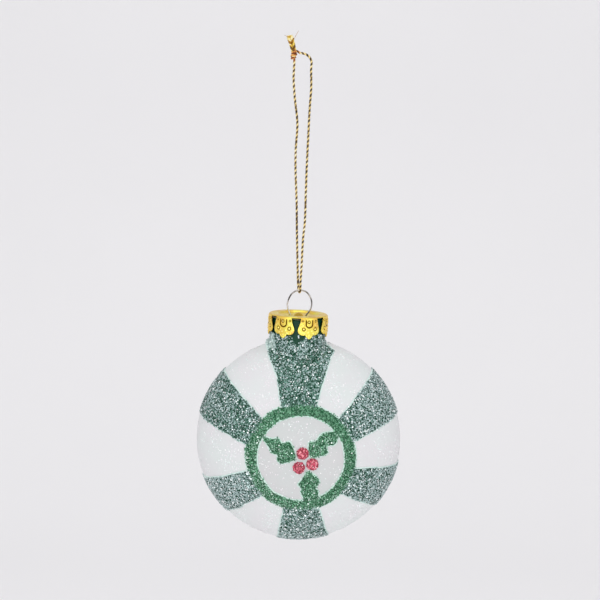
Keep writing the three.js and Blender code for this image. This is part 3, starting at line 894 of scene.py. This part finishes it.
def make_glass():
    """The blown wall, with a rounded lip, as one closed shell."""
    columns, neck_rows, body_rows = 160, 14, 96
    turns = around(columns)
    edge = GLASS_WALL / 2
    outer = bulb_rows(0, LIP_HEIGHT - edge, columns, neck_rows, body_rows)
    inner = bulb_rows(-GLASS_WALL, LIP_HEIGHT - edge, columns, neck_rows, body_rows)
    lip = []
    for angle in np.linspace(0, math.pi, 9)[1:-1]:
        radius = NECK_RADIUS - edge + edge * math.cos(angle)
        height = np.full(columns, LIP_HEIGHT - edge + edge * math.sin(angle))
        lip.append(np.column_stack([radius * np.cos(turns), radius * np.sin(turns), height]))
    rows = np.concatenate([outer[::-1], np.array(lip), inner])
    points = rows.reshape(-1, 3)
    points = np.vstack([points, (0, 0, -DISC_RADIUS), (0, 0, -DISC_RADIUS + GLASS_WALL)])
    faces = grid_faces(len(rows), columns, True)
    last = (len(rows) - 1) * columns
    bottom, inside = len(points) - 2, len(points) - 1
    for i in range(columns):
        j = (i + 1) % columns
        faces += [(bottom, j, i), (last + i, last + j, inside)]
    glass = make_object("blown_glass", points, faces, [glass_material()])
    under_ring = np.linalg.norm(points[:, [0, 2]] - RING_CENTRE, axis=1) - (RING_INNER + RING_OUTER) / 2
    add_attribute(glass, "in_ring", np.clip(0.5 - under_ring, 0, 1))
    turn_outwards(glass)
    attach(glass, "glass")
    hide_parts("glass_bulb")


# The glitter

def combined(tree, *values):
    return add_node(tree, "ShaderNodeCombineXYZ", dict(zip("XYZ", values))).outputs[0]


def chance(tree, low, high, seed):
    """A random number between two others, for each point or instance."""
    inputs = {"Min": low, "Max": high, "Seed": seed}
    return add_node(tree, "FunctionNodeRandomValue", inputs, data_type="FLOAT").outputs[1]


def scatter_tree():
    """Scatters thin six-sided flakes over a skin, denser where its attribute cover says so."""
    tree, start, end = new_group(
        "scatter_flakes",
        "GeometryNodeTree",
        [("Skin", GEOMETRY, None), ("Density", FLOAT, 1e6), ("Radius", FLOAT, 0.0003),
         ("Thickness", FLOAT, 0.00004), ("Tilt", FLOAT, 0.5), ("Lift", FLOAT, 0.0001),
         ("Seed", WHOLE, 0), ("Material", MATERIAL, None)],
        [("Flakes", GEOMETRY)],
    )
    tree.is_modifier = True
    given = start.outputs
    cover = add_node(tree, "GeometryNodeInputNamedAttribute", {"Name": "cover"}, data_type="FLOAT")
    density = reckoned(tree, "MULTIPLY", given["Density"], cover.outputs["Attribute"])
    spots = add_node(
        tree, "GeometryNodeDistributePointsOnFaces",
        {"Mesh": given["Skin"], "Density": density, "Seed": given["Seed"]},
    )
    tilt = given["Tilt"]
    back = reckoned(tree, "MULTIPLY", tilt, -1.0)
    lean = add_node(
        tree, "FunctionNodeRandomValue",
        {"Min": combined(tree, back, back, 0.0), "Max": combined(tree, tilt, tilt, math.pi),
         "Seed": given["Seed"]},
        data_type="FLOAT_VECTOR",
    )
    turned = add_node(tree, "FunctionNodeEulerToRotation", {"Euler": lean.outputs[0]})
    stance = add_node(
        tree, "FunctionNodeRotateRotation",
        {"Rotation": spots.outputs["Rotation"], "Rotate By": turned.outputs[0]}, rotation_space="LOCAL",
    )
    flake = add_node(
        tree, "GeometryNodeMeshCylinder",
        {"Vertices": FLAKE_SIDES, "Side Segments": 1, "Fill Segments": 1, "Radius": given["Radius"],
         "Depth": given["Thickness"]},
        fill_type="NGON",
    )
    laid = add_node(
        tree, "GeometryNodeInstanceOnPoints",
        {"Points": spots.outputs["Points"], "Instance": flake.outputs["Mesh"],
         "Rotation": stance.outputs[0], "Scale": chance(tree, *FLAKE_SIZES, 5)},
    )
    rise = combined(tree, 0.0, 0.0, chance(tree, 0.0, given["Lift"], 11))
    raised = add_node(
        tree, "GeometryNodeTranslateInstances",
        {"Instances": laid.outputs["Instances"], "Translation": rise, "Local Space": True},
    )
    kept = add_node(
        tree, "GeometryNodeStoreNamedAttribute",
        {"Geometry": raised.outputs["Instances"], "Name": "shade", "Value": chance(tree, 0.0, 1.0, 23)},
        data_type="FLOAT", domain="INSTANCE",
    )
    real = add_node(tree, "GeometryNodeRealizeInstances", {"Geometry": kept.outputs["Geometry"]})
    dressed = add_node(
        tree, "GeometryNodeSetMaterial",
        {"Geometry": real.outputs["Geometry"], "Material": given["Material"]},
    )
    link(tree, dressed.outputs["Geometry"], end.inputs["Flakes"])
    return tree


SCATTER = scatter_tree()


def scatter(name, points, faces, cover, silver_and_sheen, material, strew, seed, rise=FLAKE_RISE):
    """Flakes over a skin as a plain mesh, so many to a square millimetre and of a radius."""
    density, radius = strew
    skin = make_object(f"{name}_skin", points, faces, [])
    add_attribute(skin, "cover", np.broadcast_to(cover, len(points)))
    add_attribute(skin, "silver_and_sheen", np.broadcast_to(silver_and_sheen, len(points)))
    modifier = skin.modifiers.new("flakes", "NODES")
    modifier.node_group = SCATTER
    values = {
        "Density": density / MM**2, "Radius": radius * MM, "Thickness": FLAKE_THICKNESS * MM,
        "Tilt": FLAKE_TILT, "Lift": rise * MM, "Seed": seed, "Material": material,
    }
    for socket in SCATTER.interface.items_tree:
        if socket.in_out == "INPUT" and socket.name in values:
            modifier[socket.identifier] = values[socket.name]
    mesh = evaluated_mesh(skin)
    mesh.name = name
    bpy.data.objects.remove(skin)
    return add_object(name, mesh)


def fix_to_glass(piece, node=None):
    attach(piece, "glass")
    if node:
        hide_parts(node)


def coat_lift(inward, middle=0.0):
    """How high glue stands over the glass, by how far inside the painted outline it is."""
    edge = np.clip((inward + GLUE_FRINGE) / 0.6, 0.1, 1)
    return GLUE_FOOT + (GLUE_LIFT - GLUE_FOOT) * edge + middle * np.clip(inward / 1.5, 0, 1)


def patchy(points, wavelength):
    """Slow noise over points, from about -0.5 to 0.5."""
    return np.array([noise.noise(Vector(p) / wavelength) for p in points.tolist()])


def outline_distance(points, outline):
    """Distance of points to a closed outline, positive inside."""
    a, b = outline, np.roll(outline, -1, axis=0)
    run = b - a
    offset = points[:, None] - a[None]
    share = np.clip((offset * run).sum(-1) / (run**2).sum(-1), 0, 1)
    distance = np.linalg.norm(offset - share[..., None] * run, axis=-1).min(1)
    above = (a[None, :, 1] > points[:, None, 1]) != (b[None, :, 1] > points[:, None, 1])
    rise = np.where(np.abs(run[:, 1]) < 1e-12, 1e-12, run[:, 1])
    cross = a[None, :, 0] + (points[:, None, 1] - a[None, :, 1]) / rise * run[None, :, 0]
    odd = (above & (points[:, None, 0] < cross)).sum(1) % 2 == 1
    return np.where(odd, distance, -distance)


def grown(outline, amount):
    """An outline whose every side is moved outwards by an amount."""
    outline = np.array(outline, float)
    after = np.roll(outline, -1, axis=0)
    run = after - outline
    normal = np.column_stack([run[:, 1], -run[:, 0]]) / np.linalg.norm(run, axis=1)[:, None]
    before = np.roll(normal, 1, axis=0)
    share = np.maximum(1 + (normal * before).sum(1), 0.5)[:, None]
    area = np.sum(outline[:, 0] * after[:, 1] - after[:, 0] * outline[:, 1])
    return outline + (1 if area > 0 else -1) * amount * (normal + before) / share


def stripe_outline(name):
    """A stripe's corners, across and up: from under the ring's edge out beyond the rim and back."""
    edges = []
    for near, far in STRIPES[name]:
        ends = [
            PATTERN + r * np.array([math.cos(math.radians(a)), math.sin(math.radians(a))])
            for a, r in ((near, EDGE_NEAR), (far, EDGE_FAR))
        ]
        run = (ends[1] - ends[0]) / (EDGE_FAR - EDGE_NEAR)
        edges.append((ends[0] - 1.7 * run, ends[1] + 12.0 * run))
    (low_start, low_end), (high_start, high_end) = edges
    middle = SHOULDERS if name == "stripe_top" else [low_end, high_end]
    return np.array([low_start, *middle, high_start])


def stripe_skin(whole, outline, cuts=()):
    """The part of the bulb's skin inside an outline, on both faces, also split along other outlines."""
    shape = whole.copy()
    far = [f for f, d in zip(shape.faces, face_distances(shape, outline)) if d < -3]
    bmesh.ops.delete(shape, geom=far, context="FACES")
    for line in (outline, *cuts):
        for a, b in zip(line, np.roll(line, -1, axis=0)):
            bmesh.ops.bisect_plane(
                shape, geom=shape.verts[:] + shape.edges[:] + shape.faces[:], plane_co=(a[0], 0, a[1]),
                plane_no=(b[1] - a[1], 0, a[0] - b[0]), dist=1e-4,
            )
    outside = [f for f, d in zip(shape.faces, face_distances(shape, outline)) if d < 0]
    bmesh.ops.delete(shape, geom=outside, context="FACES")
    shape.verts.index_update()
    points = np.array([v.co[:] for v in shape.verts])
    faces = [tuple(v.index for v in f.verts) for f in shape.faces]
    shape.free()
    return points, faces


def face_distances(shape, outline):
    centres = np.array([f.calc_center_median()[:] for f in shape.faces])
    return outline_distance(centres[:, [0, 2]], outline)


def waver(points, offset):
    """Shifts points a little to and fro, as a hand does, and lays them back on the bulb."""
    calm = np.clip((NECK_COAT_TOP - points[:, 2]) / 4, 0, 1)[:, None]
    slow = np.array([noise.noise_vector(Vector(p) / HAND_RUN) for p in points.tolist()])
    quick = np.array([noise.noise_vector(Vector(p) / TREMOR_RUN) for p in points.tolist()])
    return on_bulb(points + calm * (HAND * slow + TREMOR * quick), offset)


def stray_cover(inward):
    """Full inside the painted outline, and thinner towards its strays."""
    return np.clip(0.55 + inward / STRAY_REACH * 0.45, 0.1, 1)


def neck_cover(points):
    """No flakes under the cap, and few on the thick run and in a wedge below the cap's front gap, whose
    dark glue stands partly for painted shade.
    """
    x, y, z = points.T
    under = np.clip((z - CAP_SHADE_FROM) / 0.8, 0, 1)
    half = WEDGE_FOOT_HALF + WEDGE_FLARE * np.maximum(z - WEDGE_FOOT, 0)
    inside = np.clip(WEDGE_SOFTNESS - WEDGE_SOFTNESS * np.abs(x - WEDGE_MIDDLE) / half, 0, 0.9)
    wedge = (y < 0) * (z > WEDGE_FOOT) * inside
    on_run = (x < RUN_EDGE) & (z > RUN_FOOT)
    return np.clip(1 - under - wedge, 0, 1) * np.where(on_run, RUN_COVER, 1)


def neck_run(points):
    """From 0 to 1 where a thick run of glue stands on the left of the neck, just below the cap."""
    x, _, z = points.T
    leftward = np.clip((RUN_EDGE + 1.6 - x) / RUN_SOFTNESS, 0, 1)
    return leftward * np.clip((z - RUN_FOOT) / 1.4, 0, 1) * np.clip((RUN_END - z) / RUN_FADE, 0, 1)


def lay_stripe(name, whole, seed):
    """A stripe's glue and flakes, cut from the bulb's whole skin. The top one also coats the neck."""
    outline = stripe_outline(name)
    neck = name == "stripe_top"
    points, faces = stripe_skin(whole, grown(outline, GLUE_FRINGE), [outline])
    inward = outline_distance(points[:, [0, 2]], outline)
    lift = coat_lift(inward)
    if neck:
        x, _, z = points.T
        off_run = np.maximum.reduce([x - RUN_EDGE, RUN_FOOT - z, z - RUN_PALE_TO])
        inward = np.minimum(inward, np.maximum(off_run, RUN_PALE))
        lift = lift + RUN_LIFT * neck_run(points)
    top, foot = waver(points, lift), waver(points, GLUE_FOOT)
    glue = make_object(f"{name}_glue", *closed_patch(top, faces, foot), [GREEN_GLUE])
    add_attribute(glue, "inward", np.tile(inward, 2))
    fix_to_glass(glue, name)

    points, faces = stripe_skin(whole, grown(outline, STRAY_REACH), [outline])
    cover = stray_cover(outline_distance(points[:, [0, 2]], outline))
    run = neck_run(points) if neck else 0
    points = waver(points, GLUE_LIFT + 0.05 + RUN_LIFT * run)
    if neck:
        cover = cover * neck_cover(points)
    outward = np.hypot(points[:, 0] - PATTERN[0], points[:, 2] - PATTERN[1]) - RING_OUTER
    share = np.clip(outward / RING_TO_RIM, 0, 1)
    # silver with a painted sheen that grows towards the rim, and painted light on the lower stripes
    silver_and_sheen = RIM_SHEEN * share + PATCH_SILVER * patchy(points, 6) + STRIPE_SILVER_AND_LIGHT[name] * (0.6 + 0.8 * share)
    silver_and_sheen = silver_and_sheen + NECK_SILVER * np.clip((points[:, 2] - NECK_FOOT) / 3, 0, 1) + RUN_SILVER * run
    flakes = scatter(f"{name}_flakes", points, faces, cover, silver_and_sheen, GREEN_FLAKES, STRIPE_STREW, seed)
    fix_to_glass(flakes)


def make_stripes():
    """All six stripes, whose edges waver in the same way at every run."""
    noise.seed_set(WAVER_SEED)
    points, faces = bulb_skin(GLUE_LIFT, NECK_COAT_TOP, columns=220, neck_rows=22, body_rows=150)
    whole = bmesh.new()
    for p in points:
        whole.verts.new(p)
    whole.verts.ensure_lookup_table()
    for f in faces:
        whole.faces.new([whole.verts[i] for i in f])
    for seed, name in enumerate(STRIPES):
        lay_stripe(name, whole, seed)
    whole.free()


def on_face(x, z, side, offset):
    """Points of the disc's front face, side -1, or back face, side 1, at an offset from the glass."""
    rim, dome = DISC_RADIUS + offset, HALF_THICKNESS + offset
    return np.column_stack([x, side * dome * np.sqrt(1 - (x**2 + z**2) / rim**2), z])


def faced(flat, faces, side):
    """Turns each face of a net, given across and up, to look out from its side of the disc."""
    turned = []
    for face in faces:
        a, b, c = (flat[i] for i in face[:3])
        leftward = (b[0] - a[0]) * (c[1] - a[1]) - (b[1] - a[1]) * (c[0] - a[0])
        turned.append(tuple(face) if leftward * side < 0 else tuple(reversed(face)))
    return turned


def leaf_net(outline):
    """A triangle net inside a rounded outline and its fringe, with how far inside the outline it is."""
    outline = np.array(outline, float)
    after = np.roll(outline, -1, axis=0)
    near, far = 1 - LEAF_ROUNDING, LEAF_ROUNDING
    outline = np.stack([near * outline + far * after, far * outline + near * after], 1).reshape(-1, 2)
    rim = grown(outline, GLUE_FRINGE)
    xs, zs = (np.arange(low, high, LEAF_SPACING) for low, high in zip(rim.min(0), rim.max(0)))
    grid = np.array([(x + (j % 2) * LEAF_SPACING / 2, z) for j, z in enumerate(zs) for x in xs])
    inside = grid[outline_distance(grid, rim) > LEAF_SPACING * 0.45]
    flat, faces = triangle_net([rim], inside, 1)
    return flat, faces, outline_distance(flat, outline)


def round_net(centre, inner, outer, rings, columns):
    """A band or a disc about a point, as points across and up, with the share from in to out."""
    shares = np.linspace(0 if inner else 1 / rings, 1, rings)
    radii = inner + (outer - inner) * shares
    turns = around(columns)
    flat = centre + np.array([(r * math.cos(a), r * math.sin(a)) for r in radii for a in turns])
    faces = grid_faces(rings, columns, True)
    depth = np.repeat(shares, columns)
    if not inner:
        flat = np.vstack([flat, centre])
        depth = np.append(depth, 0)
        faces += [(len(flat) - 1, i, (i + 1) % columns) for i in range(columns)]
    return flat, faces, depth


def lay_glitter(name, side, net, lift, inward, silver_and_sheen, paint, strew, seed):
    """A patch of glue on a face with its flakes. Lift and inward are per point of its net."""
    flat, faces = net
    glue, flakes, slot = paint
    top = on_face(flat[:, 0], flat[:, 1], side, lift)
    foot = on_face(flat[:, 0], flat[:, 1], side, GLUE_FOOT)
    faces = faced(flat, faces, side)
    patch = make_object(f"{name}_glue", *closed_patch(top, faces, foot), [glue])
    add_attribute(patch, "inward", np.tile(inward, 2))
    fix_to_glass(patch, name)
    cover = stray_cover(inward) * (inward > -STRAY_REACH)
    grains = scatter(f"{name}_flakes", top, faces, cover, silver_and_sheen, flakes, strew, seed)
    fix_to_glass(grains)


def make_roundel(face, side, seed):
    """A face's ring, its leaves and its berries."""
    low, high = RING_INNER - GLUE_FRINGE, RING_OUTER + GLUE_FRINGE
    flat, faces, share = round_net(RING_CENTRE, low, high, rings=17, columns=220)
    turn = np.arctan2(flat[:, 1] - RING_CENTRE[1], flat[:, 0] - RING_CENTRE[0])
    away = np.column_stack([np.cos(turn), np.sin(turn)])
    sway = np.array([noise.noise(Vector((x * 3, z * 3, s))) for (x, z), s in zip(away.tolist(), share)])
    net = flat + 1.2 * HAND * away * sway[:, None], faces
    width = RING_OUTER - RING_INNER + 2 * GLUE_FRINGE
    inward = width / 2 * (1 - np.abs(2 * share - 1)) - GLUE_FRINGE
    silver_and_sheen = 0.02 - 0.08 * np.cos(turn) - 0.24 * np.maximum(0, np.sin(turn))
    lift = coat_lift(inward, PAINTED_LIFT)
    lay_glitter(f"{face}_ring", side, net, lift, inward, silver_and_sheen, LEAF_PAINT, RING_STREW, seed)
    for i, (name, outline) in enumerate(LEAVES.items(), start=1):
        flat, faces, inward = leaf_net(outline)
        silver_and_sheen = 0.1 * patchy(np.column_stack([flat, np.zeros(len(flat))]), 4)
        net = flat, faces
        lift = coat_lift(inward, PAINTED_LIFT)
        lay_glitter(f"{face}_{name}", side, net, lift, inward, silver_and_sheen, LEAF_PAINT, LEAF_STREW, seed + i)
    for i, (name, centre) in enumerate(BERRIES.items(), start=5):
        centre = np.array(centre)
        flat, faces, share = round_net(centre, 0, BERRY_RADIUS + BERRY_FRINGE, rings=12, columns=40)
        dome = BERRY_LIFT * np.sqrt(np.clip(1 - share**2, 0, 1)) + BERRY_EDGE
        inward = (1 - share) * BERRY_RADIUS
        net = flat, faces
        lay_glitter(f"{face}_{name}", side, net, dome, inward, 0.0, BERRY_PAINT, BERRY_STREW, seed + i)


def make_sparkle():
    """Fine clear glitter over the bare glass, in patches, and thinner inside the ring."""
    points, faces = bulb_skin(0.02, CAP_SHADE_FROM - 1.5, columns=200, neck_rows=8, body_rows=130)
    flat = points[:, [0, 2]]
    radius = np.linalg.norm(flat - RING_CENTRE, axis=1)
    bare = (radius < RING_INNER - SPARKLE_GAP) | (radius > RING_OUTER + SPARKLE_GAP)
    for name in STRIPES:
        bare &= outline_distance(flat, stripe_outline(name)) < -SPARKLE_GAP
    patches = np.clip(0.45 + 1.6 * patchy(points, 7), 0.08, 1) * np.where(radius < RING_INNER, 0.4, 1)
    sparkle = scatter(
        "pearl_sparkle", points, faces, bare * patches, 0.0, PEARL_FLAKES, SPARKLE_STREW, SPARKLE_SEED,
        rise=SPARKLE_RISE,
    )
    fix_to_glass(sparkle)


# The cap and its wire

def seat(points):
    """Leans points made with the cap's top at zero height, and sets them on the neck."""
    cosine, sine = math.cos(math.radians(CAP_LEAN)), math.sin(math.radians(CAP_LEAN))
    x, y, z = np.asarray(points, float).T
    return np.column_stack([x * cosine + z * sine, y, z * cosine - x * sine + CAP_TOP])


def petal_span(degrees):
    """Where a petal's column starts and ends, down from the cap's top, by its angle from the middle."""
    return np.interp(np.abs(degrees), *PETAL_STARTS), np.interp(np.abs(degrees), *PETAL_ENDS)


def ridge(distance, width):
    return np.exp(-((distance / width) ** 2))


def petal_relief(across, down, above_edge):
    """How far the sheet is pressed out, in millimetres, at a place on a petal."""
    from_middle = np.where(down < GROOVE_FOOT, np.abs(across), np.hypot(across, down - GROOVE_FOOT))
    groove = ridge(np.abs(from_middle - GROOVE_HALF), GROOVE_WIDTH)
    relief = -GROOVE_DEPTH * groove * np.clip((down - GROOVE_TOP) / 0.4, 0, 1)
    for x, z, radius in PETAL_RINGS:
        far = np.hypot(across - x, down - z)
        relief += RING_BOSS * ridge(far, radius * 0.45) - RING_DEPTH * ridge(far - radius, RING_WIDTH)
    for x, z in PETAL_DOTS:
        relief += DOT_RISE * ridge(np.hypot(across - x, down - z), DOT_WIDTH)
    beads = 0.5 + 0.5 * np.cos(across * 2 * math.pi / BEAD_PITCH)
    row = ridge(above_edge - BEADS_ABOVE_EDGE, 0.22) * (down > BEADS_FROM)
    return relief + (BEAD_RISE * beads - BEAD_GROUND) * row


def cap_profile(down):
    """The cap's radius at a depth, round at its edge."""
    bend = np.clip(down, 0, CAP_EDGE)
    return CAP_RADIUS - CAP_EDGE + np.sqrt(CAP_EDGE**2 - (CAP_EDGE - bend) ** 2)


def make_petal(middle, columns, rows):
    """One petal's outer skin, from the rim's band down to its tip, with how far its sheet is pressed."""
    flank = np.linspace(ROOT_HALF, PETAL_HALF, 12)
    between = np.linspace(-ROOT_HALF, ROOT_HALF, columns)[1:-1]
    angles = np.concatenate([-flank[::-1], between, flank])
    start, end = petal_span(angles)
    share = np.linspace(0, 1, rows)[:, None]
    down = start[None] + (end - start)[None] * share
    across = np.broadcast_to(np.radians(angles) * CAP_RADIUS, down.shape)
    relief = petal_relief(across, down, end[None] - down)
    fade = np.clip((down - PETAL_ROOT) / 1.0, 0, 1)
    belly = 0.1 * np.sin(np.clip(down / CAP_HEIGHT, 0, 1) * math.pi) - 0.2 * (np.abs(across) / 4.5) ** 3
    radius = cap_profile(down) + fade * (belly + relief)
    turn = np.radians(middle + angles)[None]
    points = np.stack([radius * np.sin(turn), -radius * np.cos(turn), -down], -1).reshape(-1, 3)
    # less pressed along the petal's lower edge, for a thin painted shade line there
    press = fade * relief - EDGE_SHADE_PRESS * ridge(end[None] - down, 0.2)
    return points, grid_faces(rows, len(angles), False), press.ravel(), angles


def circle(x, y, radius, count):
    return [(x + radius * math.cos(t), y + radius * math.sin(t)) for t in around(count)]


def make_cap_top(rim_angles):
    """The dished top, with a rib arched up between two slits and a hole for each leg of the wire."""
    rim = CAP_RADIUS - CAP_EDGE
    holes = []
    for side in (-1, 1):
        low, high = sorted((side * RIB_HALF_WIDTH, side * (RIB_HALF_WIDTH + SLIT)))
        left, right = -RIB_HALF_LENGTH, RIB_HALF_LENGTH
        holes.append([(left, low), (right, low), (right, high), (left, high)])
        holes.append(circle(side * WIRE_HOLE[0], 0, WIRE_HOLE[1], 20))
    outline = [(rim * math.sin(a), -rim * math.cos(a)) for a in rim_angles]
    loops = [outline, circle(0, 0, DISH_FLOOR, 90), circle(0, 0, DISH_RADIUS, 90)] + holes
    grid = np.array([(x, y) for x in np.arange(-10.2, 10.3, 0.34) for y in np.arange(-10.2, 10.3, 0.35)])
    keep = np.hypot(grid[:, 0], grid[:, 1]) < rim - 0.25
    for hole in holes:
        keep &= outline_distance(grid, np.array(hole)) < -0.12
    flat, faces = triangle_net(loops, grid[keep], 0)
    centres = np.array([flat[list(f)].mean(0) for f in faces])
    solid = np.hypot(centres[:, 0], centres[:, 1]) < rim
    for hole in holes:
        solid &= outline_distance(centres, np.array(hole)) < 0
    faces = [f for f, s in zip(faces, solid) if s]
    radius = np.hypot(flat[:, 0], flat[:, 1])
    on_rib = (np.abs(flat[:, 0]) < RIB_HALF_LENGTH) & (np.abs(flat[:, 1]) < RIB_HALF_WIDTH + 0.01)
    along = np.clip(flat[:, 0] / RIB_HALF_LENGTH, -1, 1)
    arch = RIB_RISE * np.cos(along * math.pi / 2) ** 0.8
    dents = DENT * patchy(np.column_stack([flat, 0 * radius]), 2.5) * np.clip((rim - radius) / 1.0, 0, 1)
    slope = np.interp(radius, [DISH_FLOOR, DISH_RADIUS], [-DISH_DEPTH, 0])
    return np.column_stack([flat, slope + dents + np.where(on_rib, arch, 0)]), faces


def make_cap():
    """Seven petals, the band from which they hang and the top, as one sheet with a thickness."""
    parts, presses, rim_angles = [], [], set()
    half_pitch = 180 / PETALS
    for i in range(PETALS):
        middle = PETAL_TURN + half_pitch + 360 * i / PETALS
        points, faces, press, angles = make_petal(middle, columns=64, rows=56)
        parts.append((points, [tuple(reversed(f)) for f in faces]))
        presses.append(press)
        rim_angles |= {round(middle + a, 6) for a in angles if abs(a) <= ROOT_HALF + 0.01}
        rim_angles |= {round(middle + half_pitch + a, 6) for a in (-6, -2, 2, 6)}
    rim_angles = np.radians(sorted(rim_angles))
    bend = np.linspace(0, PETAL_ROOT, 7)
    levels = list(zip(cap_profile(bend), bend))
    band = np.array([(r * math.sin(a), -r * math.cos(a), -d) for r, d in levels for a in rim_angles])
    band_faces = [tuple(reversed(f)) for f in grid_faces(len(bend), len(rim_angles), True)]
    parts += [(band, band_faces), make_cap_top(rim_angles)]
    points, faces = joined(parts)
    press = np.full(len(points), PLAIN_PRESS)
    press[: sum(len(p) for p in presses)] = np.concatenate(presses)
    cap = make_object("pressed_cap", seat(points), faces, [cap_material()])
    add_attribute(cap, "press", press)
    # how far to the side each point lies, for the painted reflection there
    add_attribute(cap, "painted_side_reflection", np.abs(points[:, 0]) / CAP_RADIUS)
    shape = bmesh.new()
    shape.from_mesh(cap.data)
    bmesh.ops.remove_doubles(shape, verts=shape.verts, dist=2e-6)
    bmesh.ops.recalc_face_normals(shape, faces=shape.faces)
    top = max(shape.faces, key=lambda f: f.calc_center_median().z)
    if top.normal.z < 0:
        bmesh.ops.reverse_faces(shape, faces=shape.faces)
    shape.to_mesh(cap.data)
    shape.free()
    wall = cap.modifiers.new("sheet", "SOLIDIFY")
    wall.thickness = CAP_SHEET * MM
    wall.offset = -1
    wall.use_even_offset = False
    mesh = evaluated_mesh(cap)
    cap.modifiers.clear()
    cap.data = mesh
    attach(cap, "cap")
    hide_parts("cap")


def make_wire():
    """A ring with a slight kink where it was bent, and two legs that splay in the neck."""
    left_leg = [(-x, z) for x, z in LEG_ROUTE]
    route = [(x, 0, z) for x, z in LEG_ROUTE[::-1] + WIRE_RING + left_leg]
    line = smooth_route(route, 0.22)
    radius = np.full(len(line), WIRE_RADIUS)
    radius[[0, -1]] *= 0.7
    wire = make_object("sprung_wire", *sweep(line, radius, 16), [wire_material()])
    turn_outwards(wire)
    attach(wire, "hanger")
    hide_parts("hanger_wire")


make_camera()
make_cord()
make_world()
make_backdrop()
for name, values in LIGHTS.items():
    make_light(name, *values)
make_glass()
make_stripes()
for face, (side, seed) in FACES.items():
    make_roundel(face, side, seed)
make_sparkle()
make_cap()
make_wire()
